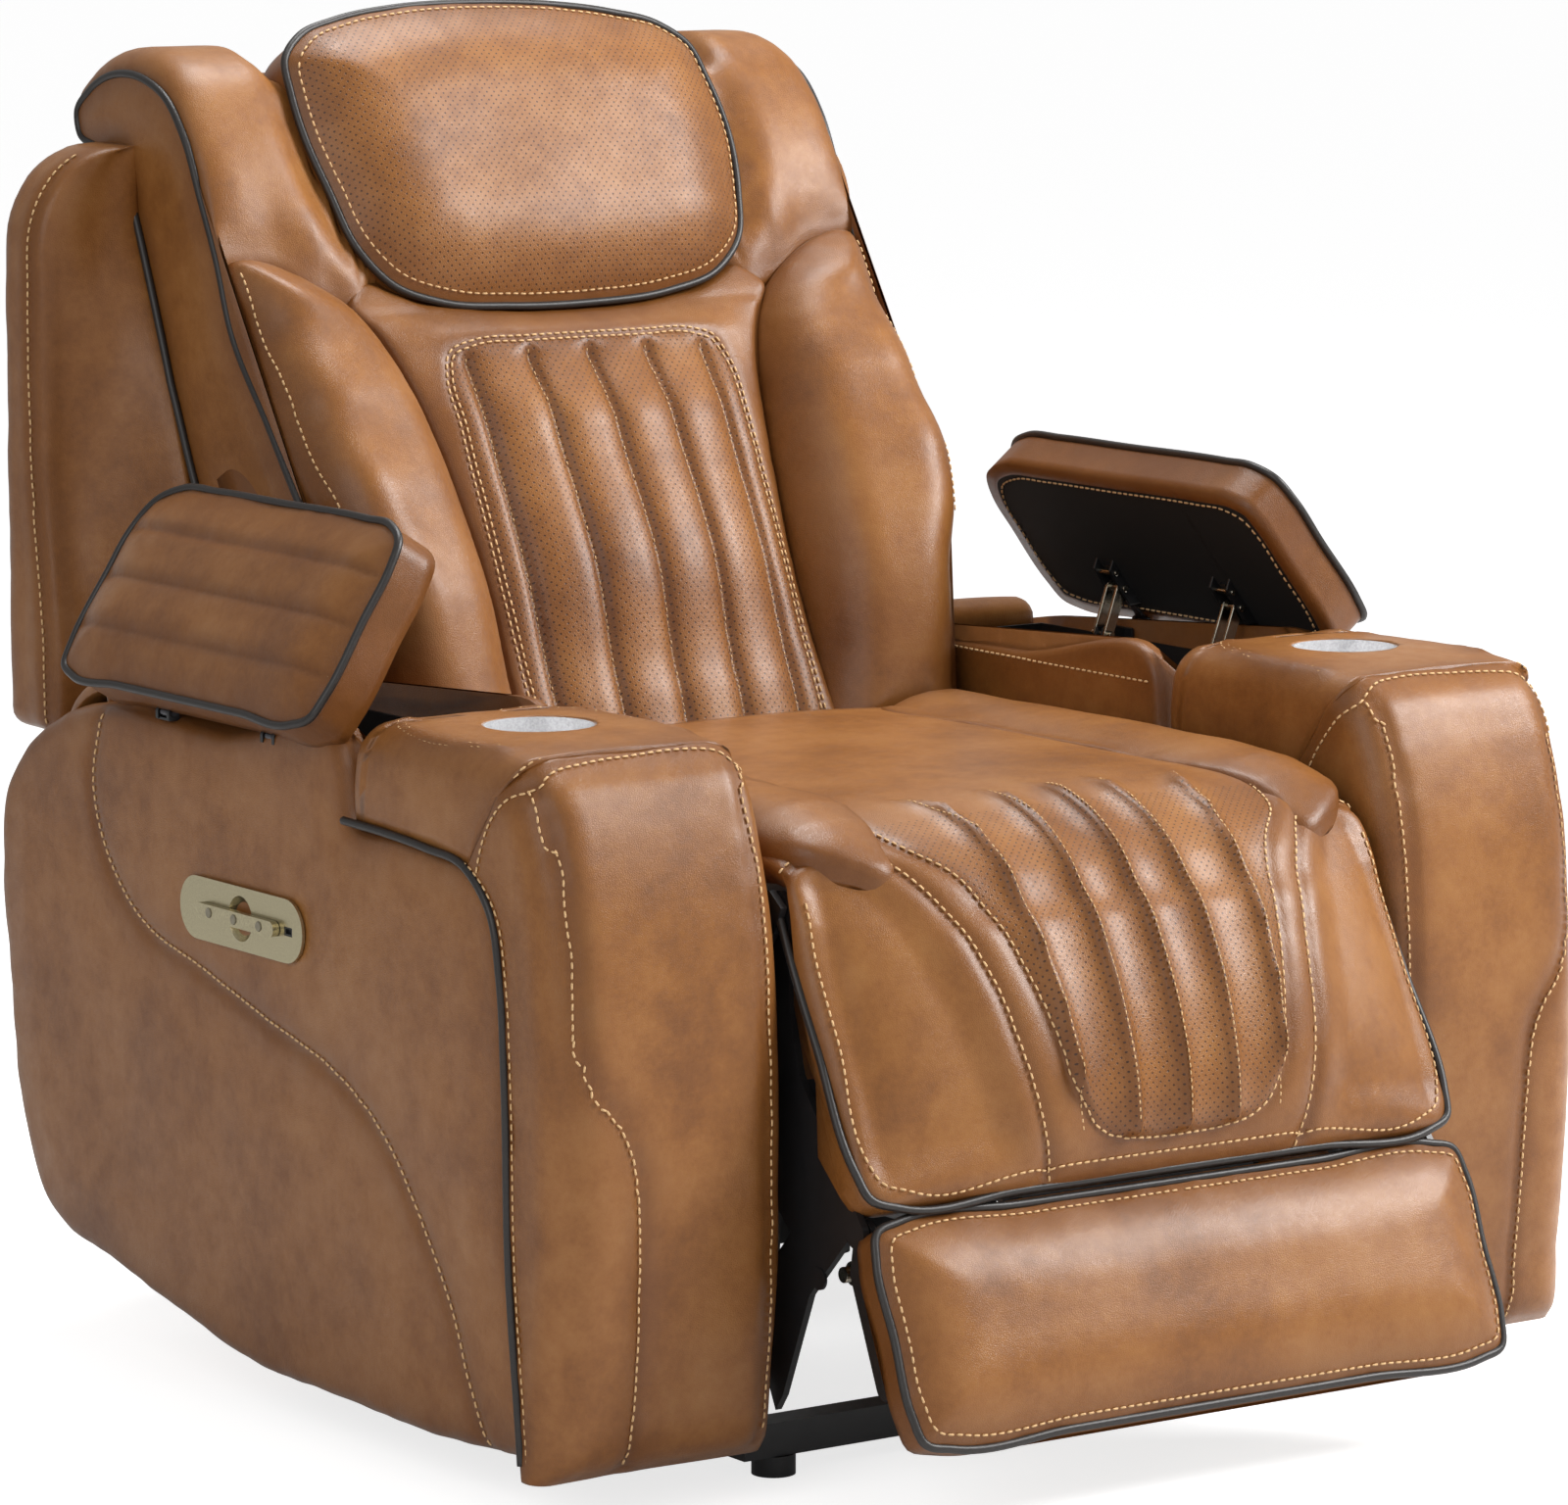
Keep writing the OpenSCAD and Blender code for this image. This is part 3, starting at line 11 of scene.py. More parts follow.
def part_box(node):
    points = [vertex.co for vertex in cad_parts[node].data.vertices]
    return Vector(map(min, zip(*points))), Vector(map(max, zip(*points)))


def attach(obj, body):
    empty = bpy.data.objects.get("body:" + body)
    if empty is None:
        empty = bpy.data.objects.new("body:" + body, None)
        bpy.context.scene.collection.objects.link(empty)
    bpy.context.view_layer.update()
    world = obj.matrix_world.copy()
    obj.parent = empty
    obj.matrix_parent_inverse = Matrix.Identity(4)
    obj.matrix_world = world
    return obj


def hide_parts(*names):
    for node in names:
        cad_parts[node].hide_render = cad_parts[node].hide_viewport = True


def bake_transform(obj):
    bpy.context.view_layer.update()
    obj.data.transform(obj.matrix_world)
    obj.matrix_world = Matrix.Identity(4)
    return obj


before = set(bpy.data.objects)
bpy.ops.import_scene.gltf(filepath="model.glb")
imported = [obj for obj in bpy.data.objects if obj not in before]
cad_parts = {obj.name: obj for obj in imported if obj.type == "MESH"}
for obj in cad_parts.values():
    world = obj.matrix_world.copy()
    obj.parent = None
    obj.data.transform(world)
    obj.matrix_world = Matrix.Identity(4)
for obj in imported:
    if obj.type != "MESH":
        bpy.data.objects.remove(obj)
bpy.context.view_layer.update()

bl_info = {
    "name": "Power recliner",
    "version": (1, 0, 0),
    "blender": (4, 5, 0),
    "location": "View3D > Sidebar > Recliner",
    "description": "Leather upholstery, stitching, piping and finishes for a power recliner",
    "category": "Add Mesh",
}

FINISHES = {}

# Sizes are in millimetres, in the frame of the arms' front seam: y = 0 there, floor at z = 0.
CENTRE_Y = 44 - 1000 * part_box("base_feet")[0].y
INNER_X, OUTER_X = 302, 520
LEG_PIVOT = (10, 470)
LEG_LEAN, FOOT_LEAN, BACK_LEAN = math.radians(30), math.radians(23), math.radians(27)
BACK_ORIGIN = (640, 330)
SHOULDER_X = 335
LAY_STEP = 2.5
RAY_START = 400
GRID_ROW = 0.866
STITCH_SIDES, PIPE_SIDES, BORE_SIDES = 5, 8, 48
STITCH_SHOULDER, STITCH_FLATTEN, STITCH_TUCK = 0.32, 0.8, 0.5
BORE_ABOVE = 40
LINING_BORDER = 13
SIDES = (("left", -1), ("right", 1))


def metres(points):
    """Points in millimetres moved to the chair's own frame, in metres."""
    return (np.asarray(points, float) - (0, CENTRE_Y, 0)) / 1000


def spot(x, y, z):
    """One point in the chair's own frame, in metres."""
    return tuple(metres([x, y, z]))


def turned(origin, lean, u, v):
    """(y, z) of a point u down a leaning board and v behind its face."""
    s, c = math.sin(lean), math.cos(lean)
    return origin[0] - u * s + v * c, origin[1] - u * c - v * s


def leg_at(u, v):
    """(y, z) of a point on the leg rest."""
    return turned(LEG_PIVOT, LEG_LEAN, u, v)


FOOT_HINGE_DEPTH = 30
FOOT_HINGE = leg_at(262, FOOT_HINGE_DEPTH)


def foot_at(u, v):
    """(y, z) of a point on the footboard."""
    return turned(FOOT_HINGE, FOOT_LEAN, u, v - FOOT_HINGE_DEPTH)


def back_at(n, w):
    """(y, z) of a point n forward and w up of the back's datum line."""
    s, c = math.sin(BACK_LEAN), math.cos(BACK_LEAN)
    return BACK_ORIGIN[0] - n * c + w * s, BACK_ORIGIN[1] + n * s + w * c


def ease(a, b, x):
    """Smooth step of x from 0 at a to 1 at b."""
    t = np.clip((np.asarray(x, float) - a) / (b - a), 0, 1)
    return t * t * (3 - 2 * t)


def mix(a, b, t):
    """The value a share t of the way from a to b."""
    return a + (b - a) * t


def round_drop(d, r):
    """Drop of a rounded edge of radius r at a distance d inside it."""
    d = np.clip(d, 0, r)
    return r - np.sqrt(np.maximum(0, r * r - (r - d) ** 2))


def dome(d, reach, power):
    """Share of its full height that a padded panel has at a distance d inside its edge."""
    return 1 - (1 - np.clip(d / reach, 0, 1)) ** power


def along(table, x):
    """Height at x along smooth steps through a table of (x, height)."""
    x = np.asarray(x, float)
    out = np.full(x.shape, float(table[0][1]))
    for (a, ha), (b, hb) in zip(table, table[1:]):
        out = np.where(x >= a, mix(ha, hb, ease(a, b, x)), out)
    return out


def linear(table, x):
    """Height at x along straight lines through a table of (x, height)."""
    return np.interp(x, [row[0] for row in table], [row[1] for row in table])


def through(points, sub, closed=False):
    """Smooth lines through each column of an array [point, column, axis], with sub steps a span."""
    p = np.asarray(points, float)
    if closed:
        p = np.concatenate([p[-1:], p, p[:2]])
    gap = np.maximum(np.linalg.norm(np.diff(p, axis=0), axis=2), 1e-4)[:, :, None]
    rate = np.diff(p, axis=0) / gap
    slope = np.empty_like(p)
    slope[1:-1] = (rate[1:] * gap[:-1] + rate[:-1] * gap[1:]) / (gap[1:] + gap[:-1])
    slope[0], slope[-1] = rate[0], rate[-1]
    t = (np.arange(sub) / sub)[:, None, None]
    first, last = (1, len(p) - 2) if closed else (0, len(p) - 1)
    rows = []
    for i in range(first, last):
        rows.append(p[i] * (1 + 2 * t) * (1 - t) ** 2 + p[i + 1] * t * t * (3 - 2 * t)
                    + gap[i] * (slope[i] * t * (1 - t) ** 2 - slope[i + 1] * t * t * (1 - t)))
    return np.concatenate(rows if closed else rows + [p[-1:]])


def curve(points, step, closed=False):
    """Even points about step apart along a smooth line through the points."""
    fine = through(np.asarray(points, float)[:, None, :], 12, closed)[:, 0]
    if closed:
        fine = np.vstack([fine, fine[:1]])
    run = np.concatenate([[0], np.cumsum(np.linalg.norm(np.diff(fine, axis=0), axis=1))])
    count = max(2, round(run[-1] / step))
    at = np.linspace(0, run[-1], count + 1)
    even = np.stack([np.interp(at, run, fine[:, k]) for k in range(fine.shape[1])], axis=1)
    return even[:-1] if closed else even


def distance(points, line, closed=False, reach=1e9):
    """Distance of each point from a line of points. Beyond reach the value is only large."""
    start = line if closed else line[:-1]
    span = (np.roll(line, -1, 0) if closed else line[1:]) - start
    length2 = np.maximum((span * span).sum(1), 1e-9)
    best = np.full(len(points), 1e9)
    near = np.all((points > line.min(0) - reach) & (points < line.max(0) + reach), axis=1).nonzero()[0]
    for chunk in np.array_split(near, max(1, len(near) // 3000)):
        p = points[chunk][:, None]
        t = np.clip(((p - start) * span).sum(2) / length2, 0, 1)
        best[chunk] = np.linalg.norm(p - start - t[:, :, None] * span, axis=2).min(1) if len(chunk) else 0
    return best


def inside(points, loop):
    """Which points lie inside a closed outline."""
    x, y = points[:, 0][:, None], points[:, 1][:, None]
    a, b = loop, np.roll(loop, -1, 0)
    rise = np.where(a[:, 1] == b[:, 1], 1e-9, b[:, 1] - a[:, 1])
    cross = ((a[:, 1] > y) != (b[:, 1] > y)) & (x < (b[:, 0] - a[:, 0]) * (y - a[:, 1]) / rise + a[:, 0])
    return cross.sum(1) % 2 == 1


def triangulate(points, edge_count):
    """Triangles of flat points inside their first edge_count points."""
    flat = [Vector((float(x), float(y))) for x, y in points]
    result = delaunay_2d_cdt(flat, [], [list(range(edge_count))], 1, 1e-5, False)
    lookup = {(round(p.x, 3), round(p.y, 3)): i for i, p in enumerate(flat)}
    source = [lookup.get((round(p.x, 3), round(p.y, 3)), -1) for p in result[0]]
    faces = [tuple(source[i] for i in face) for face in result[2]]
    return [face for face in faces if -1 not in face and len(set(face)) == len(face)]


def linked(name, data, collection=None):
    """A new object in the collection, or else in the active one."""
    piece = bpy.data.objects.new(name, data)
    (collection or bpy.context.collection).objects.link(piece)
    return piece


class Skin:
    """A leather piece in millimetres before it becomes an object: points, faces, UV and marks."""

    def __init__(self, points, faces, uv, mirror=False):
        points = np.asarray(points, float)
        if mirror:
            points = points * (-1, 1, 1)
            faces = [face[::-1] for face in faces]
        self.mesh = bpy.data.meshes.new("skin")
        self.mesh.from_pydata(points.tolist(), [], [tuple(map(int, face)) for face in faces])
        self.mesh.validate()
        self.points = points
        self.uv = np.asarray(uv, float)
        # seam: how much darker the leather is drawn beside seams and edges, from burnishing and painted shade
        # of their valleys and rolled edges
        self.seam = np.zeros(len(points))
        self.holes = np.zeros(len(points))
        self.inset = np.ones(len(points))
        self.dark_faces = []
        self.bvh = None

    def write(self):
        """Puts the points into the mesh."""
        self.mesh.vertices.foreach_set("co", self.points.ravel())
        self.mesh.update()

    def normals(self):
        """Normals at the points."""
        self.write()
        out = np.empty(len(self.points) * 3)
        self.mesh.vertex_normals.foreach_get("vector", out)
        return out.reshape(-1, 3)

    def press(self, line, depth, width, closed=False, burnish_and_shade_reach=16):
        """Sinks a seam into the skin along a line, and darkens the leather beside it: burnishing, and painted
        shade in the seam's valley.
        """
        d = distance(self.points, np.asarray(line, float), closed, reach=4 * burnish_and_shade_reach)
        self.points = self.points - self.normals() * (depth * np.exp(-(d / width) ** 1.4))[:, None]
        self.seam = np.maximum(self.seam, np.exp(-(d / burnish_and_shade_reach) ** 1.2))
        self.bvh = None

    def sink(self, line, depth, width, look=None):
        """Sinks a seam along a line laid on the skin."""
        self.press(self.lay(line, look)[0][::3], depth, width)

    def darken(self, line, reach, power=1.0, step=8):
        """Marks the leather beside a line as darker: burnishing, and painted shade beside the seam or edge.
        """
        near = distance(self.points, curve(line, step)) / reach
        self.seam = np.maximum(self.seam, np.exp(-near ** power))

    def ripple(self, amount, size, seed=0.0, pucker=0.0):
        """Uneven filling: slow waves all over, and small puckers beside the seams."""
        shift = Vector((seed, 2 * seed, -seed))
        wave = np.array([noise.noise(Vector(p) / size + shift) for p in self.points])
        move = amount * wave * (self.inset > 0)
        if pucker:
            fine = np.array([noise.noise(Vector(p) / (size * 0.22) + shift) for p in self.points])
            move = move + pucker * fine * self.seam * (self.inset > 0)
        self.points = self.points + self.normals() * move[:, None]
        self.bvh = None

    def tree(self):
        """Search tree of the skin as it stands, kept until the skin changes."""
        if self.bvh is None:
            faces = [tuple(p.vertices) for p in self.mesh.polygons]
            self.bvh = BVHTree.FromPolygons(self.points.tolist(), faces)
        return self.bvh

    def lay(self, line, look=None, closed=False):
        """Points on the skin along a line, seen along the direction look or nearest, with their
        normals and the skin's search tree."""
        tree = self.tree()
        spots, normals = [], []
        for p in curve(line, LAY_STEP, closed):
            if look is None:
                hit = tree.find_nearest(p)
            else:
                way = Vector(look).normalized()
                hit = tree.ray_cast(Vector(p) - way * RAY_START, way)
            if hit[0] is not None:
                spots.append(tuple(hit[0]))
                normals.append(tuple(hit[1]))
        spots, normals = np.array(spots), np.array(normals)
        for _ in range(3):
            normals[1:-1] = normals[:-2] + 2 * normals[1:-1] + normals[2:]
            normals /= np.linalg.norm(normals, axis=1)[:, None]
        return spots, normals, tree

    def build(self, name, materials, fill):
        """The skin as an object in the chair's frame."""
        self.points = metres(self.points)
        self.write()
        # The seam mark goes to the shader, which darkens the leather there with burnishing and painted shade
        for mark, values in (("seam", self.seam), ("holes", self.holes)):
            layer = self.mesh.attributes.new(mark, "FLOAT", "POINT")
            layer.data.foreach_set("value", np.asarray(values, float))
        layer = self.mesh.uv_layers.new(name="UVMap")
        corners = np.empty(len(self.mesh.loops), dtype=np.int32)
        self.mesh.loops.foreach_get("vertex_index", corners)
        layer.data.foreach_set("uv", (self.uv[corners] / 1000).ravel())
        self.mesh.polygons.foreach_set("use_smooth", np.ones(len(self.mesh.polygons), dtype=bool))
        for item in materials:
            self.mesh.materials.append(FINISHES[item])
        for index in self.dark_faces:
            self.mesh.polygons[index].material_index = 1
        self.mesh.name = name
        piece = linked(name, self.mesh)
        return piece


def quilt(outline, place, height, step, depth, rims=(1.5, 4, 8), mirror=False, dark_back=False):
    """A padded panel over a flat outline: place(points, h) puts it in space, height(points, d) is
    its rise at a distance d inside the outline, and depth the level of its back."""
    loop = curve(outline, step, closed=True)
    after = np.roll(loop, -1, 0)
    if (loop[:, 0] * after[:, 1] - after[:, 0] * loop[:, 1]).sum() < 0:
        loop = loop[::-1]
    way = np.roll(loop, -1, 0) - np.roll(loop, 1, 0)
    way /= np.linalg.norm(way, axis=1)[:, None]
    inward = np.stack([-way[:, 1], way[:, 0]], axis=1)
    spots = [loop]
    for rim in rims:
        ring = loop + inward * rim
        spots.append(ring[inside(ring, loop) & (distance(ring, loop, True) > rim * 0.96)])
    low, high = loop.min(0), loop.max(0)
    rows = np.arange(low[1], high[1], step * GRID_ROW)
    grid = np.array([(x + (step / 2 if i % 2 else 0), y)
                     for i, y in enumerate(rows) for x in np.arange(low[0], high[0], step)])
    grid = grid[inside(grid, loop)]
    spots.append(grid[distance(grid, loop, True) > rims[-1] + step * 0.6])
    flat = np.concatenate(spots)
    n, total = len(loop), len(flat)
    d = distance(flat, loop, True)
    d[:n] = 0
    rise = height(flat, d)
    points, uv, faces = [place(flat, rise)], [flat], list(triangulate(flat, n))
    rings = [(loop, mix(rise[:n], depth, share), loop + inward * -share * 20)
             for share in (0.12, 0.4, 0.75, 1.0)]
    if dark_back:
        loop = loop + inward * LINING_BORDER
        rings.append((loop, np.full(n, float(depth)), loop))
    ring = list(range(n))
    for around, level, spread_out in rings:
        points.append(place(around, level))
        uv.append(spread_out)
        lower = list(range(total, total + n))
        faces += [(lower[i], lower[(i + 1) % n], ring[(i + 1) % n], ring[i]) for i in range(n)]
        ring, total = lower, total + n
    back = [tuple(total - n + i for i in face[::-1]) for face in triangulate(loop, n)]
    dark = range(len(faces), len(faces) + len(back)) if dark_back else []
    faces += back
    a, b, c = (points[0][i] for i in faces[0])
    up = place(flat[:1], rise[:1] + 1)[0] - place(flat[:1], rise[:1])[0]
    if np.dot(np.cross(b - a, c - a), up) < 0:
        faces = [face[::-1] for face in faces]
    skin = Skin(np.concatenate(points), faces, np.concatenate(uv), mirror)
    skin.flat = np.concatenate(uv)
    skin.inset = np.concatenate([d, np.zeros(total - len(d))])
    skin.dark_faces = list(dark)
    # Darker towards the outline: painted shade of the rolled edge, together with burnishing
    skin.seam = np.exp(-(skin.inset / 20) ** 1.2)
    return skin


def stack(rings, uv=None, mirror=False):
    """A skin through an array of rings [ring, point, axis], with its two ends closed."""
    rows, columns = rings.shape[:2]
    faces = []
    for start in range(0, (rows - 1) * columns, columns):
        for j in range(columns):
            k = (j + 1) % columns
            faces.append((start + j, start + k, start + columns + k, start + columns + j))
    faces.append(tuple(range(columns))[::-1])
    faces.append(tuple(range((rows - 1) * columns, rows * columns)))
    if uv is None:
        around = np.cumsum(np.linalg.norm(np.diff(rings, axis=1, prepend=rings[:, :1]), axis=2), axis=1)
        up = np.cumsum(np.linalg.norm(np.diff(rings, axis=0, prepend=rings[:1]), axis=2), axis=0)
        uv = np.stack([around, up], axis=2)
    return Skin(rings.reshape(-1, 3), faces, uv.reshape(-1, 2), mirror)


def facing(line, up):
    """A laid line whose normals all point one way."""
    return line, np.tile(np.asarray(up, float), (len(line), 1))


class Trim:
    """Stitches and piping that lie on the skins, gathered into one object each."""

    def __init__(self):
        self.stitch_points, self.stitch_faces = [], []
        self.pipe_points, self.pipe_faces = [], []
        self.sizes = bpy.context.scene.recliner_sizes

    def stitch(self, laid, pitch=None, length=None, radius=None, lift=0.9, shift=0.0):
        """A row of short capsules along a laid line, moved sideways by shift. Each has a tip, two
        rings of points and a tip."""
        pitch = pitch or self.sizes.stitch_pitch * 1000
        length = length or self.sizes.stitch_length * 1000
        radius = radius or self.sizes.thread_radius * 1000
        spots, normals = laid[:2]
        if len(spots) < 3:
            return
        way = np.gradient(spots, axis=0)
        way /= np.maximum(np.linalg.norm(way, axis=1), 1e-6)[:, None]
        across = np.cross(way, normals)
        spots = spots + across * shift
        if shift and len(laid) > 2:
            hits = [laid[2].find_nearest(p) for p in spots]
            spots = np.array([tuple(hit[0]) for hit in hits])
        spots = spots + normals * lift
        run = np.concatenate([[0], np.cumsum(np.linalg.norm(np.diff(spots, axis=0), axis=1))])
        sides = STITCH_SIDES
        turns = np.arange(sides) * 2 * math.pi / sides
        for at in np.arange(pitch / 2, run[-1] - pitch / 2, pitch):
            p, w, a, up = (np.array([np.interp(at, run, v[:, k]) for k in range(3)])
                           for v in (spots, way, across, normals))
            first = len(self.stitch_points)
            self.stitch_points.append(p - w * length / 2 - up * STITCH_TUCK)
            for end in (-STITCH_SHOULDER, STITCH_SHOULDER):
                for t in turns:
                    side = a * math.cos(t) + up * STITCH_FLATTEN * math.sin(t)
                    self.stitch_points.append(p + w * length * end + radius * side)
            self.stitch_points.append(p + w * length / 2 - up * STITCH_TUCK)
            near, far = first + 1, first + 1 + sides
            for j in range(sides):
                k = (j + 1) % sides
                self.stitch_faces += [(first, near + k, near + j), (near + j, near + k, far + k, far + j),
                                      (far + sides, far + j, far + k)]

    def sew(self, skin, line, look=None, closed=False, **thread):
        """A row of stitches along a line laid on a skin."""
        self.stitch(skin.lay(line, look, closed), **thread)

    def pipe(self, laid, lift=1.0, closed=False):
        """A round cord along a laid line."""
        radius = self.sizes.piping_radius * 1000
        spots, normals = laid[:2]
        way = np.gradient(spots, axis=0)
        if closed:
            way = np.roll(spots, -1, 0) - np.roll(spots, 1, 0)
        way /= np.maximum(np.linalg.norm(way, axis=1), 1e-6)[:, None]
        across = np.cross(way, normals)
        across /= np.maximum(np.linalg.norm(across, axis=1), 1e-6)[:, None]
        up = np.cross(across, way)
        spots = spots + normals * lift
        sides, n = PIPE_SIDES, len(spots)
        first = len(self.pipe_points)
        for k in range(sides):
            t = 2 * math.pi * k / sides
            self.pipe_points.extend(spots + radius * (across * math.cos(t) + up * math.sin(t)))
        for i in range(n if closed else n - 1):
            j = (i + 1) % n
            for k in range(sides):
                m = (k + 1) % sides
                self.pipe_faces.append((first + k * n + i, first + k * n + j,
                                        first + m * n + j, first + m * n + i))
        if not closed:
            self.pipe_faces.append(tuple(first + k * n for k in range(sides)))
            self.pipe_faces.append(tuple(first + k * n + n - 1 for k in range(sides))[::-1])

    def build(self, name, body=None):
        """The gathered stitches and piping as objects on one body."""
        made = []
        for kind, points, faces, finish in (
                ("stitching", self.stitch_points, self.stitch_faces, "thread"),
                ("piping", self.pipe_points, self.pipe_faces, "piping")):
            if not points:
                continue
            mesh = bpy.data.meshes.new(f"{name}_{kind}")
            mesh.from_pydata(metres(points).tolist(), [], faces)
            mesh.polygons.foreach_set("use_smooth", np.ones(len(mesh.polygons), dtype=bool))
            mesh.materials.append(FINISHES[finish])
            piece = linked(f"{name}_{kind}", mesh)
            if body:
                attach(piece, body)
            made.append(piece)
        return made


def channel_dip(d):
    """Depth of a sewn channel at a distance d from its seam."""
    return 4.5 * np.exp(-(d / 3.2) ** 1.4) + 6.5 * np.clip(1 - d / 27, 0, 1) ** 2


# Arms
ARM_SIDE = [
    (29, 52), (60, 49), (188, 43), (317, 45), (442, 47), (560, 67), (676, 90), (798, 126), (833, 182),
    (857, 312), (867, 416), (862, 483), (829, 521), (800, 540), (733, 566), (700, 572), (500, 573),
    (291, 573), (287, 545), (283, 527), (221, 525), (162, 521), (105, 512), (70, 482), (56, 430),
    (50, 354), (45, 199)]
FRONT_PIPING = [(29, 50), (31, 70), (45, 199), (50, 354), (56, 430), (70, 482), (105, 512), (162, 520),
                (221, 524), (287, 526)]
SIDE_SEAM = [(690, 566), (701, 511), (678, 447), (613, 393), (532, 372), (421, 343), (299, 310),
             (232, 273), (181, 218), (138, 158), (110, 93), (90, 49)]
OUTER_FRONT_SEAM = [
    (508, 30, 590), (511, 5, 567), (509, -10, 538), (508, -20, 513), (508, -28, 472), (506, -32, 435),
    (501, -33, 385), (486, -33, 352), (463, -33, 324), (450, -33, 290), (446, -33, 244),
    (444, -28, 180), (444, -18, 100), (446, -6, 39)]
INNER_FRONT_SEAM = [
    (322, 22, 591), (324, 0, 567), (325, -15, 538), (328, -25, 509), (328, -30, 463), (328, -33, 386),
    (328, -33, 269), (326, -25, 149), (325, -10, 51)]
POD_SEAM = [(520, 96, 512), (520, 94, 520), (520, 80, 551), (519, 58, 574), (508, 33, 592), (485, 36, 600),
            (450, 40, 603), (410, 43, 604), (370, 45, 603), (335, 42, 599), (316, 36, 588),
            (304, 52, 572), (303, 76, 545), (303, 90, 522)]
POD_OVAL = [(322, 84), (318, 130), (322, 190), (338, 240), (365, 268), (400, 281), (440, 282), (470, 268),
            (494, 240), (506, 190), (504, 130), (494, 84)]
FRONT_PROFILE = [(8, 37), (-10, 50), (-24, 110), (-33, 220), (-33, 330), (-29, 415), (-21, 480),
                 (-9, 526), (2, 556), (16, 582), (42, 603)]
FRONT_BACK = [(28, 38), (29, 54), (36, 120), (45, 199), (50, 354), (55, 425), (64, 468),
              (84, 494), (96, 502), (101, 507), (104, 511)]

ARM_REAR = [(520, 60), (560, 68), (676, 91), (798, 127), (834, 182), (856, 312), (866, 416),
            (858, 478), (828, 520), (800, 542), (778, 566), (750, 582), (724, 586), (713, 578), (711, 560)]
POD_TOP, POD_REAR, POD_LENGTH, POD_CORNER = 606, 288, 240, 30
CUP_X, CUP_Y, CUP_RADIUS, CUP_DEPTH = 411, 167, 46, 70
PLATE_Y, PLATE_Z = 446, 424
SIDE_FACE, SIDE_BACK, INNER_BACK = 515.5, 491, 320
OUTER_RADIUS, INNER_RADIUS = 44, 34


def arm_side_skin(mirror):
    """Outer side of an arm: a padded panel with one sewn line, sunk a little for the control plate."""
    seam = curve(SIDE_SEAM, 8)

    def rise(p, d):
        swell = 3.0 * ease(0, 60, d) + 2.5 * ease(0, 90, distance(p, seam)) * ease(520, 380, p[:, 1])
        plate = ease(60, 20, np.abs(p[:, 1] - PLATE_Z)) * ease(150, 95, np.abs(p[:, 0] - PLATE_Y))
        return SIDE_FACE + swell * (1 - plate) + 3.0 * plate - round_drop(d, 16)

    return quilt(ARM_SIDE, lambda p, h: np.stack([h, p[:, 0], p[:, 1]], axis=1), rise, 6.5, SIDE_BACK,
                 rims=(1.5, 4, 8, 13), mirror=mirror)


def arm_front_skin(mirror):
    """Front of an arm: from the outer piping round the corner, across and round to the inside."""
    pairs = np.array([[front, back] for front, back in zip(FRONT_PROFILE, FRONT_BACK)], float)
    line = through(pairs, 10)
    front, back = line[:, 0], line[:, 1]
    reach = np.linalg.norm(back - front, axis=1)
    way = (back - front) / reach[:, None]
    outer_r = np.minimum(OUTER_RADIUS, reach * 0.75)
    inner_r = np.minimum(INNER_RADIUS, reach * 0.7)
    x_in, x_out = INNER_X + 1.5, OUTER_X - 0.5
    columns = []
    for share in np.linspace(1, 0, 8):
        columns.append((np.full(len(front), x_out), mix(outer_r, reach, share)))
    for t in np.linspace(0.1, 1, 10) * math.pi / 2:
        columns.append((x_out - outer_r * (1 - math.cos(t)), outer_r * (1 - math.sin(t))))
    for share in np.linspace(0.03, 0.97, 28):
        columns.append((mix(x_out - outer_r, x_in + inner_r, share), np.zeros(len(front))))
    for t in np.linspace(1, 0.1, 9) * math.pi / 2:
        columns.append((x_in + inner_r * (1 - math.cos(t)), inner_r * (1 - math.sin(t))))
    for share in np.linspace(0, 1, 7):
        columns.append((np.full(len(front), x_in), mix(inner_r, reach, share)))
    rings = np.stack([np.column_stack([x, *(front + way * depth[:, None]).T]) for x, depth in columns],
                     axis=1)
    return stack(rings[:, ::-1], mirror=mirror)


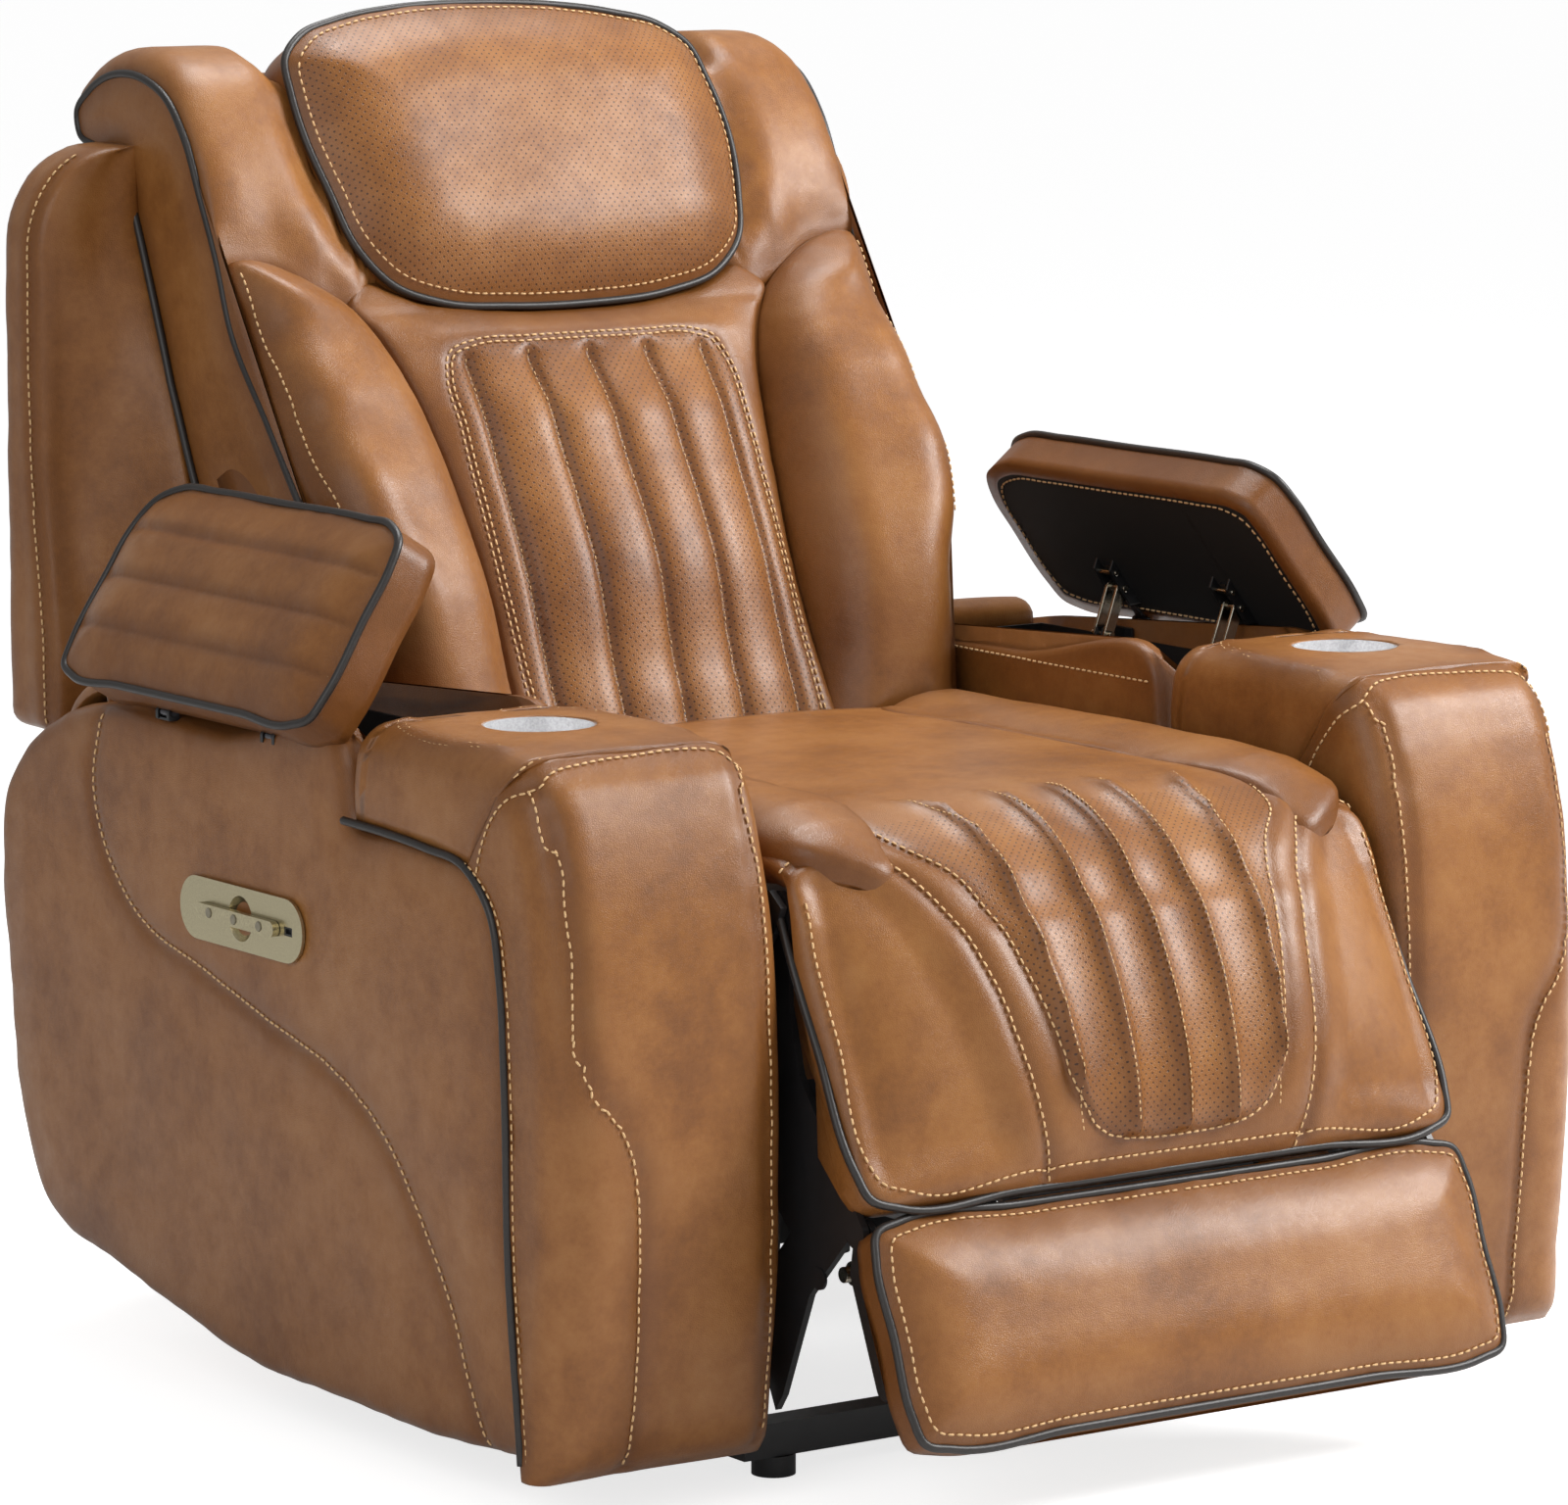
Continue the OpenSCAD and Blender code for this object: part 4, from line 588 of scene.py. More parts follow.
def pod_skin(mirror):
    """Block at the front of an arm's top, rounded at the rear."""
    arch = [(104, 511), (99, 520), (84, 548), (66, 570), (50, 584), (42, 596)]
    heights = [z for _, z in arch]
    r = POD_CORNER
    sides = (0.2, 0.4, 0.6, 0.8, 1)
    corner = np.linspace(0.15, 1, 7) * math.pi / 2
    x_in, x_out = INNER_X + 2, OUTER_X - 1
    near_rear = 1 - np.array([36, 30, 22, 15, 9, 5, 2, 0.5, 0]) / POD_LENGTH
    stations = np.concatenate([np.linspace(0, 0.85, 34), near_rear])
    rings = []
    for share in np.sort(stations):
        ring = []
        cut = float(round_drop((1 - share) * POD_LENGTH, r))
        low = linear([(100, 511), (162, 523), (290, 528)], mix(104, POD_REAR, share)) + cut * 0.2
        roof = POD_TOP - cut * 0.9 + 2.5 * math.sin(math.pi * min(1, share * 1.2)) - (1 - share) ** 6 * 3
        a, b = x_in + cut, x_out - cut
        section = [(b, low)] + [(b + 1.5 * math.sin(math.pi * s), mix(low, roof - r, s)) for s in sides]
        section += [(b - r * (1 - math.cos(t)), roof - r * (1 - math.sin(t))) for t in corner]
        section += [(mix(b - r, a + r, s), roof + 2 * math.sin(math.pi * s))
                    for s in np.linspace(0.06, 0.94, 18)]
        section += [(a + r * (1 - math.cos(t)), roof - r * (1 - math.sin(t)))
                    for t in np.linspace(1, 0.15, 7) * math.pi / 2]
        section += [(a - 1.5 * math.sin(math.pi * s), mix(low, roof - r, s)) for s in sides[::-1]]
        section.append((a, low))
        section += [(mix(a, b, s), low) for s in (0.25, 0.5, 0.75)]
        for x, z in section:
            start = np.interp(z, heights, [y for y, _ in arch])
            ring.append((x, mix(start, POD_REAR, share), z))
        rings.append(ring)
    return stack(np.array(rings), mirror=mirror)


def bored(piece, x, y, z, radius, depth):
    """The piece with a round hole sunk into it from above."""
    mesh = bpy.data.meshes.new("bore")
    sides = BORE_SIDES
    ring = [(radius * math.cos(2 * math.pi * k / sides), radius * math.sin(2 * math.pi * k / sides))
            for k in range(sides)]
    points = [(x + a, y + b, z - depth) for a, b in ring] + [(x + a, y + b, z + BORE_ABOVE) for a, b in ring]
    faces = [(k, (k + 1) % sides, sides + (k + 1) % sides, sides + k) for k in range(sides)]
    faces += [tuple(range(sides))[::-1], tuple(range(sides, 2 * sides))]
    mesh.from_pydata(metres(points).tolist(), [], faces)
    tool = linked("bore", mesh)
    cut = piece.modifiers.new("bore", "BOOLEAN")
    cut.object, cut.operation, cut.solver = tool, "DIFFERENCE", "EXACT"
    graph = bpy.context.evaluated_depsgraph_get()
    done = bpy.data.meshes.new_from_object(piece.evaluated_get(graph))
    piece.modifiers.clear()
    piece.data = done
    bpy.data.objects.remove(tool)


def arm_inner_skin(mirror):
    """Inner side of an arm, facing the seat."""
    outline = [(40, 100), (300, 92), (560, 120), (748, 145), (815, 215), (840, 300), (853, 416), (835, 500),
               (800, 545), (760, 574), (727, 581), (700, 578), (500, 577), (292, 577), (288, 550),
               (284, 527), (221, 525), (162, 521), (108, 512), (74, 482), (60, 430), (54, 354), (49, 199)]

    def rise(p, d):
        return 17.2 - round_drop(d, 9) + 0.8 * ease(0, 50, d)

    return quilt(outline, lambda p, h: np.stack([INNER_BACK - h, p[:, 0], p[:, 1]], axis=1), rise, 8, 0.5,
                 mirror=mirror)


def band_skin(path, x0, x1, thick, crown, mirror, step=8):
    """A padded strip between x0 and x1 that runs along a (y, z) path, its outer side on the left."""
    line = curve(path, step)
    way = np.gradient(line, axis=0)
    way /= np.linalg.norm(way, axis=1)[:, None]
    out = np.stack([way[:, 1], -way[:, 0]], axis=1)
    shares = np.concatenate([[0, 0.015, 0.05], np.linspace(0.1, 0.9, 15), [0.95, 0.985, 1]])
    rings = []
    for p, o in zip(line, out):
        ring = []
        for s in shares:
            edge = min(s, 1 - s) * (x1 - x0)
            h = crown * math.sin(math.pi * s) ** 0.5 - float(round_drop(edge, 8))
            ring.append((mix(x0, x1, s), *(p + o * h)))
        for s in shares[::-4]:
            ring.append((mix(x0, x1, s), *(p - o * thick)))
        rings.append(ring)
    return stack(np.array(rings), mirror=mirror)


def build_arm_side(trim, name, s):
    """Outer side of an arm with its sewn line."""
    side = arm_side_skin(s < 0)
    seam = [(s * OUTER_X, y, z) for y, z in SIDE_SEAM]
    side.sink(seam, 3.0, 6, look=(-s, 0, 0))
    side.ripple(1.3, 120, 1.0 + s, pucker=1.2)
    trim.sew(side, seam, look=(-s, 0, 0), radius=1.1, lift=1.1, shift=4.5 * s)
    piece = side.build(f"arm_side_panel_{name}", ["leather"], 0.5)
    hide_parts(f"arm_side_pad_{name}")
    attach(piece, "base")


def build_arm_front(trim, name, s):
    """Front of an arm with its seams and piping."""
    pod_seam = np.array(POD_SEAM) * (s, 1, 1)
    front = arm_front_skin(s < 0)
    seams = [np.array(line) * (s, 1, 1) for line in (OUTER_FRONT_SEAM, INNER_FRONT_SEAM)]
    for line in seams:
        front.sink(line, 3.2, 6)
    # Darker beside the pod seam and the front piping: burnishing and painted shade
    front.darken(pod_seam, 14)
    front.darken([(s * OUTER_X, y - 2, z) for y, z in FRONT_PIPING[:7]], 12)
    front.ripple(1.6, 110, 3.0 + s, pucker=1.5)
    for line, shift in zip(seams, (-5.0 * s, 5.0 * s)):
        trim.sew(front, line, lift=1.3, shift=shift)
    trim.sew(front, pod_seam + (0, -7, -3))
    line = curve([(s * (OUTER_X - 0.5), y, z) for y, z in FRONT_PIPING], 3)
    trim.pipe(facing(line, (s, 0, 0)), lift=0.5)
    trim.stitch(facing(line + (0, -8, 0), (s, 0, 0)), lift=0.6)
    piece = front.build(f"arm_front_panel_{name}", ["leather"], 0.7)
    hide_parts(f"arm_front_pad_{name}")
    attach(piece, "base")


def build_arm_pod(trim, name, s):
    """Block round an arm's cup holder."""
    pod_seam = np.array(POD_SEAM) * (s, 1, 1)
    pod = pod_skin(s < 0)
    oval = [(s * x, y, POD_TOP) for x, y in POD_OVAL]
    pod.sink(oval, 2.2, 5, look=(0, 0, -1))
    # Darker beside the pod seam: burnishing and painted shade
    pod.darken(pod_seam, 14)
    pod.ripple(1.2, 80, 6.0 + s, pucker=1.0)
    for shift in (-3.2, 3.2):
        trim.sew(pod, oval, look=(0, 0, -1), shift=shift)
    trim.sew(pod, pod_seam + (0, 8, 4))
    piece = pod.build(f"cup_pod_panel_{name}", ["leather"], 0.7)
    bored(piece, s * CUP_X, CUP_Y, POD_TOP, CUP_RADIUS, CUP_DEPTH)
    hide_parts(f"cup_pod_{name}")
    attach(piece, "base")


def build_arm_inner(trim, name, s):
    """Inner side of an arm."""
    inner = arm_inner_skin(s < 0)
    inner.ripple(1.0, 120, 8.0 + s)
    trim.sew(inner, [(s * 303, y, 571) for y in (300, 450, 600, 700)], look=(s, 0, 0))
    piece = inner.build(f"arm_inner_panel_{name}", ["leather"], 0.4)
    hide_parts(f"arm_inner_pad_{name}")
    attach(piece, "base")


def build_arm_rear(name, s):
    """Strip over the rear of an arm."""
    rear = band_skin(ARM_REAR, 322, 489, 10, 4, s < 0)
    rear.ripple(1.2, 90, 10.0 + s)
    piece = rear.build(f"arm_rear_band_{name}", ["leather"], 0.4)
    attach(piece, "base")


class RECLINER_OT_arms(bpy.types.Operator):
    """Builds the arms' padded panels, front pads, cup pods and their seams"""
    bl_idname = "recliner.arms"
    bl_label = "Arms"

    def execute(self, context):
        for name, s in SIDES:
            trim = Trim()
            build_arm_side(trim, name, s)
            build_arm_front(trim, name, s)
            build_arm_pod(trim, name, s)
            build_arm_inner(trim, name, s)
            build_arm_rear(name, s)
            trim.build(f"arm_{name}", "base")
        return {"FINISHED"}


# Lids
LID_OUTLINE = [(-0.5, 320), (-0.5, 400), (-0.5, 600), (-0.5, 676), (-9, 697), (-30, 703), (-100, 703),
               (-130, 702), (-165, 686), (-182, 650), (-184, 600), (-184, 500), (-184, 360),
               (-182, 322), (-170, 300), (-146, 293), (-100, 293), (-30, 293), (-9, 299)]
LID_SEAMS = (-46, -92, -138)
LID_TURN = {"left": 58, "right": 52}
LID_PIVOT_X, LID_PIVOT_Z = 512, 578.6
LID_PIPING, LID_BACK = 39, -1.2
LID_CENTRE, LID_HALF = (-92, 498), (92, 205)


def opened_lid(name, s):
    """Places points of a lid, given from its pivot, on the opened lid."""
    turn = math.radians(LID_TURN[name])
    c, w = math.cos(turn), math.sin(turn)

    def place(x, y, z):
        return np.stack([s * (LID_PIVOT_X + x * c + z * w), y, LID_PIVOT_Z - x * w + z * c], axis=1)

    return place


def drawn_in(loop, centre, half, margin):
    """An outline drawn in toward its centre by a margin at its ends and sides."""
    return np.array(centre) + (loop - centre) * (1 - margin / half[0], 1 - margin / half[1])


class RECLINER_OT_lids(bpy.types.Operator):
    """Builds the two padded armrest lids with their sewn lines, piping and black undersides"""
    bl_idname = "recliner.lids"
    bl_label = "Armrest lids"

    def execute(self, context):
        for name, s in SIDES:
            opened = opened_lid(name, s)

            def lid(p, h):
                return opened(p[:, 0], p[:, 1], 3 + h)

            def rise(p, d):
                near = np.abs(p[:, :1] - LID_SEAMS).min(axis=1)
                line = 3.5 * np.exp(-(near / 4.5) ** 1.4) * ease(0, 16, d)
                return LID_PIPING + 16 * dome(d, 70, 2.3) - line

            def level(p, h):
                return lid(np.asarray(p, float), np.full(len(p), float(h)))

            skin = quilt(LID_OUTLINE, lid, rise, 5, LID_BACK, dark_back=True)
            # Darker beside the lid's sewn lines: burnishing and painted shade of their grooves
            for x in LID_SEAMS:
                near = np.abs(skin.flat[:, 0] - x)
                skin.seam = np.maximum(skin.seam, np.exp(-(near / 9) ** 1.2) * (skin.inset > 0))
            skin.ripple(1.2, 80, 12.0 + s, pucker=0.8)
            trim = Trim()
            up = (level([(-90, 500)], 10) - level([(-90, 500)], 0))[0] / 10
            loop = np.array(LID_OUTLINE, float)
            rim = level(curve(loop, 3, closed=True), LID_PIPING)
            trim.pipe(facing(rim, up), lift=0.5, closed=True)
            for x in LID_SEAMS:
                line = level([(x + 3, y) for y in (300, 400, 500, 600, 696)], 60)
                trim.sew(skin, line, look=-up)
            trim.sew(skin, level(drawn_in(loop, LID_CENTRE, LID_HALF, 9), 60), look=-up, closed=True)
            lining = level(drawn_in(loop, LID_CENTRE, LID_HALF, 16), LID_BACK)
            trim.stitch(facing(curve(lining, 3, closed=True), -up))
            piece = skin.build(f"lid_cushion_{name}", ["leather", "lining_fabric"], 0.8)
            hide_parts(f"lid_pad_{name}")
            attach(piece, f"lid_{name}")
            trim.build(f"lid_{name}", f"lid_{name}")
        return {"FINISHED"}


# Seat and leg rest
SEAT_CREST = [(500, 541), (400, 541), (300, 541), (200, 541), (130, 540), (83, 539), (45, 535), (12, 527),
              (-22, 513), (-50, 492), (-72, 466), leg_at(60, -74), leg_at(93, -75), leg_at(150, -70),
              leg_at(200, -56), leg_at(236, -34), leg_at(252, -16), leg_at(258, -3)]
SEAT_EDGE = [(500, 506), (400, 508), (300, 510), (200, 510), (130, 510), (85, 509), (50, 508), (26, 505),
             leg_at(-22, -20), leg_at(-4, -20), leg_at(16, -17), leg_at(45, -9), leg_at(85, -5),
             leg_at(145, -4), leg_at(200, -4), leg_at(240, -4), leg_at(252, -4), leg_at(256, -3)]
SEAT_UNDER = [leg_at(256, 10), leg_at(253, 24), leg_at(150, 25), leg_at(62, 20), leg_at(35, -2),
              leg_at(12, -14), leg_at(-12, -13), (32, 488), (60, 486), (110, 466), (170, 430),
              (260, 418), (380, 418), (500, 418), (506, 450)]
SEAT_HALF = [(0, 288), (7, 288), (8, 290), (10, 293), (12, 297), (18, 297)]
PANEL_LINE = [(205, -90), (188, -24), (160, 7), (141, 53), (129, 102), (115, 162), (109, 190), (100, 207),
              (90, 222), (76, 231), (50, 236), (0, 238)]
PANEL_HALF = [(u, x) for x, u in PANEL_LINE[:8]] + [(220, 92), (229, 80), (234, 62), (237, 40), (238.5, 10)]
BIB_ROLL = [(295, -12), (286, -24), (270, -31), (252, -32), (232, -27), (217, -20), (208, -11), (191, 15),
            (177, 44), (159, 106), (149, 165), (139, 212), (127, 255)]
BIB_LINE = [(u, x) for x, u in BIB_ROLL[3:4] + BIB_ROLL[5:]]
SEAT_CHANNELS = [(-90, 0, 58, 142), (-60, 0, 51, 120), (0, 0, 52, 114), (50, 0, 53, 113),
                 (120, 0, 53, 108), (240, 0, 50, 98)]
SIDE_ROLL = [(158, 500), (284, 502), (289, 400), (289, 200), (288, 70), (283, 24), (266, -4), (240, -22),
             (216, -32), (205, -30), (202, -16), (198, 6), (186, 50), (172, 110), (162, 220), (158, 360)]
SIDE_ROLL_CREST = [(-40, 496), (-20, 510), (0, 524), (20, 534), (60, 544), (120, 548), (300, 548), (500, 546)]
FOOT_OUTLINE = [(0, 0), (-150, 0), (-268, 0), (-291, 7), (-297, 28), (-297, 90), (-297, 152), (-291, 174),
                (-268, 181), (-150, 181), (0, 181), (150, 181), (268, 181), (291, 174), (297, 152),
                (297, 90), (297, 28), (291, 7), (268, 0), (150, 0)]
FOOT_MIDDLE = 90.5
LEG_LOOK = (0, math.cos(LEG_LEAN), -math.sin(LEG_LEAN))
LEG_UP = np.array([math.sin(LEG_LEAN), math.cos(LEG_LEAN)])
LEG_HALF, LEG_CORNER = 297, 28
CHANNEL_THREAD = {"pitch": 6, "length": 4, "radius": 0.7, "lift": 0.0}


def seat_channels(down):
    """Places across the seat of its three sewn channels at a way down the leg rest."""
    table = list(zip(*SEAT_CHANNELS))
    return [np.interp(down, table[0], row) for row in table[1:]]


def smooth_line(points, sub):
    """A smooth line through flat points, with sub steps a span."""
    return through(np.array(points, float)[:, None], sub)[:, 0]


def on_leg(line, v):
    """Points (x across, u down the leg rest) at a depth v."""
    return [(x, *leg_at(u, v)) for x, u in line]


def both_halves(line):
    """A whole line from its right half, which ends at the middle."""
    return line + [(-x, u) for x, u in line[-2::-1]]


def seat_cover_skin():
    """One cover from the seat's rear over its round front and down the leg rest."""
    sub = 9
    crest, edge, under = smooth_line(SEAT_CREST, sub), smooth_line(SEAT_EDGE, sub), smooth_line(SEAT_UNDER, 2)
    half = linear(SEAT_HALF, np.arange(len(crest)) / sub)
    shares = np.linspace(-1, 1, 145)
    arc = np.concatenate([[0], np.cumsum(np.linalg.norm(np.diff(crest, axis=0), axis=1))])
    down = (-(crest[:, 0] - LEG_PIVOT[0]) * math.sin(LEG_LEAN)
            - (crest[:, 1] - LEG_PIVOT[1]) * math.cos(LEG_LEAN))
    columns, uv, sewn = [], [], []
    for k in shares:
        x = k * half
        shape = float(max(0, 1 - abs(k) ** 3.2) ** 0.6)
        top = edge + (crest - edge) * shape
        corner = round_drop(half - np.abs(x), LEG_CORNER) * ease(150, 256, down)
        top = top + corner[:, None] * LEG_UP
        near = np.abs(np.abs(x) - np.array(seat_channels(down))).min(axis=0)
        zone = ease(-96, -56, down) * ease(239, 226, down)
        zone = zone * ease(0, 8, linear(PANEL_HALF, down) - np.abs(x))
        dip = channel_dip(near) * zone
        way = np.gradient(top, axis=0)
        way /= np.linalg.norm(way, axis=1)[:, None]
        into = np.stack([way[:, 1], -way[:, 0]], axis=1) * -1
        # Darker beside the channel seams: burnishing and painted shade of the channel valleys
        sewn.append(np.concatenate([np.exp(-(near / 8) ** 1.3) * zone, np.zeros(len(under))]))
        bib = np.abs(x) - linear(BIB_LINE, down)
        full = 11 * ease(0, 46, bib) * ease(-36, 6, down) * ease(256, 215, down)
        full = full * ease(0, 26, half - np.abs(x))
        top = top - into * (dip - full)[:, None]
        base = np.column_stack([np.full(len(under), x[-1]), under])
        base[4:, 0] = k * 286
        lift = float(round_drop(LEG_HALF - abs(x[-1]), LEG_CORNER))
        base[:8, 1:] += lift * LEG_UP * np.linspace(1, 0, 8)[:, None]
        columns.append(np.vstack([np.column_stack([x, top]), base]))
        uv.append(np.column_stack([np.concatenate([x, base[:, 0]]),
                                   np.concatenate([-arc, -arc[-1] - 12 * np.arange(1, len(under) + 1)])]))
    skin = stack(np.array(columns), np.array(uv))
    skin.seam = np.maximum(skin.seam, np.concatenate(sewn))
    x = np.abs(skin.points[:, 0])
    level = np.tile(np.concatenate([down, np.full(len(under), 400.0)]), len(shares))
    inner = np.minimum(linear(PANEL_HALF, level) - x, np.minimum(236 - level, level + 58))
    skin.holes = np.clip(inner / 4, 0, 1)
    return skin


def build_seat_cover():
    """Seat and leg rest cover with its seams and piping. Gives the search tree of its skin."""
    skin = seat_cover_skin()
    lines = [on_leg(line, -60) for line in (
        both_halves(PANEL_LINE), BIB_ROLL, [(-x, u) for x, u in BIB_ROLL])]
    laid = [skin.lay(line, LEG_LOOK)[0][::3] for line in lines]
    for line, depth, width in zip(laid, (2.6, 5.0, 5.0), (5, 8, 8)):
        skin.press(line, depth, width)
    rim = on_leg(both_halves([(293, -10), (296, 40), (297, 120), (297, 225), (291, 246), (268, 256),
                              (150, 256), (0, 256)]), -4)
    # Darker beside the piped rim: burnishing and painted shade
    skin.darken(rim, 14, power=1.2, step=6)
    skin.ripple(1.4, 140, 20.0, pucker=0.7)
    seat_tree = skin.tree()
    trim = Trim()
    for line, shift in zip(lines, (3.0, 3.2, -3.2)):
        trim.sew(skin, line, LEG_LOOK, shift=shift)
    ways_down = (-80, -40, 0, 60, 120, 180, 228)
    for k, side in ((2, -1), (1, -1), (0, 1), (1, 1), (2, 1)):
        line = on_leg([(side * seat_channels(u)[k], u) for u in ways_down], -60)
        trim.sew(skin, line, LEG_LOOK, **CHANNEL_THREAD)
    margin = both_halves([(293, 0), (296, 40), (297, 120), (297, 222), (291, 246), (268, 257),
                          (150, 257), (0, 257)])
    inner = on_leg([(x * (1 - 11 / LEG_HALF), u - 11 * (u > 240)) for x, u in margin], -40)
    trim.sew(skin, inner, LEG_LOOK)
    trim.pipe(facing(curve(rim, 3), -np.array(LEG_LOOK)), lift=1.5)
    piece = skin.build("seat_and_leg_cover", ["perforated_leather"], 0.8)
    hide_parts("seat_cushion", "leg_pad")
    start, end = spot(0, 40, 540), spot(0, *leg_at(45, -40))
    for item in [piece] + trim.build("seat_cover"):
        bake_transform(item)
        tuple(start)
        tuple(end)
    return seat_tree


def build_side_roll(seat_tree, name, s):
    """Flat panel that covers the side of the seat, laid over its cover."""
    def place(p, h):
        x, y = p[:, 0], p[:, 1]
        hits = [seat_tree.ray_cast((s * min(a, 285), b, 700), (0, 0, -1))[0] for a, b in zip(x, y)]
        z = [hit.z if hit is not None else 500 for hit in hits]
        crest = linear(SIDE_ROLL_CREST, y)
        side = np.where(x < 238, 15 * ((238 - x) / 75) ** 2, 20 * ((x - 238) / 52) ** 2)
        return np.stack([x, y, np.maximum(np.array(z) + 1.2, crest - side) + h], axis=1)

    roll = quilt(SIDE_ROLL, place, lambda p, d: -round_drop(d, 7), 6, -22, mirror=s < 0)
    roll.ripple(1.6, 80, 25.0 + s, pucker=1.0)
    piece = roll.build(f"seat_side_roll_{name}", ["leather"], 0.8)
    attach(piece, "base")


def build_footboard():
    """Pad of the footboard."""
    def foot(p, h):
        y, z = foot_at(p[:, 1], -h)
        return np.stack([p[:, 0], y, z], axis=1)

    def foot_rise(p, d):
        return 27 * dome(d, 75, 2.3)

    pad = quilt(FOOT_OUTLINE, foot, foot_rise, 6.5, -25)
    pad.ripple(1.8, 90, 30.0, pucker=1.2)
    trim = Trim()
    look = np.array([0, math.cos(FOOT_LEAN), -math.sin(FOOT_LEAN)])
    ring = np.array(FOOT_OUTLINE, float)
    trim.pipe(facing(foot(curve(ring, 3, closed=True), 0.0), -look), lift=0.5, closed=True)
    inner = drawn_in(ring, (0, FOOT_MIDDLE), (LEG_HALF, FOOT_MIDDLE), 9)
    trim.sew(pad, foot(inner, 20.0), look, closed=True)
    piece = pad.build("footboard_cushion", ["leather"], 0.8)
    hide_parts("footrest_pad")
    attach(piece, "footboard")
    trim.build("footboard", "footboard")


class RECLINER_OT_seat(bpy.types.Operator):
    """Builds the seat and leg rest cover, the seat's side rolls and the footboard's pad"""
    bl_idname = "recliner.seat"
    bl_label = "Seat and leg rest"

    def execute(self, context):
        seat_tree = build_seat_cover()
        for name, s in SIDES:
            build_side_roll(seat_tree, name, s)
        build_footboard()
        return {"FINISHED"}


# Back
BACK_CHANNELS = (-124, -62, 0, 62, 124)
CENTRE_SEAM = [(90, 162), (290, 164), (360, 170), (430, 178), (490, 190), (525, 203), (553, 221)]
CENTRE_FRONT = [(100, 150), (125, 164), (180, 170), (300, 190), (420, 184), (506, 166), (545, 148),
                (580, 143)]
BOLSTER_OUTLINE = [
    (165, 108), (165, 200), (166, 290), (172, 360), (180, 430), (192, 490), (205, 525), (224, 553),
    (254, 579), (288, 597), (314, 604), (328, 601), (333, 586), (333, 545), (333, 490), (333, 440),
    (332, 390), (329, 355), (323, 320), (314, 290), (303, 258), (297, 230), (292, 205), (285, 180),
    (281, 150), (280, 108), (220, 104)]
BOLSTER_EDGE = [(94, 164), (200, 188), (300, 192), (356, 186), (447, 164), (538, 144), (626, 142)]
BOLSTER_SWELL = [(94, 14), (140, 32), (280, 54), (420, 54), (540, 44), (605, 30)]
SHOULDER_PIPING = [(174, 343), (170, 360), (152, 447), (133, 538), (139, 608), (139, 664), (138, 721),
                   (125, 765), (102, 792), (73, 812), (40, 824), (6, 826), (-23, 818), (-27, 799),
                   (-8, 780), (26, 757)]
REAR_PIPING = [(33, 724), (31, 671), (26, 605), (20, 541), (7, 444), (4, 400)]
BACK_PANEL = [(148, 120), (148, 174), (148, 300), (148, 430), (147, 478), (138, 500), (116, 507), (60, 507.5),
              (0, 507.5)]
HEADREST = [(-221, 788), (-224, 756), (-222, 713), (-212, 662), (-198, 605), (-173, 571), (-128, 552),
            (-59, 545), (24, 544), (110, 551), (168, 568), (202, 600), (214, 638), (222, 706),
            (215, 755), (205, 789), (179, 810), (130, 824), (69, 833), (-13, 837), (-97, 834),
            (-160, 824), (-200, 810)]
CROWN_LOW = [(0, 588), (168, 588), (185, 576), (208, 546), (240, 556), (286, 586), (335, 592)]
HEAD_HALF = [(540, 0), (545, 60), (552, 130), (571, 174), (605, 199), (662, 213), (713, 223), (756, 225),
             (789, 218), (810, 190), (824, 150), (840, 60)]
CROWN_ROLL = [(140, 721), (125, 765), (102, 792), (73, 812), (40, 824), (6, 826), (-20, 820), (-28, 803),
              (-18, 787)]
BACK_LOOK = (0, math.cos(BACK_LEAN), -math.sin(BACK_LEAN))
BAND_TABLE = [(330, -32), (350, -29), (385, -17), (450, -6), (540, 0)]
WING_TOP, WING_FOOT, WING_EDGE, WING_INSIDE, WING_REAR = 1025, 514, 439, 335.3, 997
REAR_OUTLINE = [(-334, 516), (-334, 700), (-334, 1000), (-320, 1010), (0, 1012), (320, 1010), (334, 1000),
                (334, 700), (334, 516), (310, 512), (296, 500), (292, 420), (292, 350), (280, 342), (0, 340),
                (-280, 342), (-292, 350), (-292, 420), (-296, 500), (-310, 512)]
HEAD_FACE = 147
RECLINE_Y, RECLINE_Z, CLEAR_RADIUS = 625, 440, 286
POCKET_DEPTH = 84


def on_back(p, n):
    """Points x across, w up and n forward of the back's datum line."""
    y, z = back_at(n, p[:, 1])
    return np.stack([p[:, 0], y, z], axis=1)


def back_line(points, n=400):
    """Points x across and w up of the back, all n forward of its datum line."""
    return on_back(np.array(points, float), np.full(len(points), float(n)))


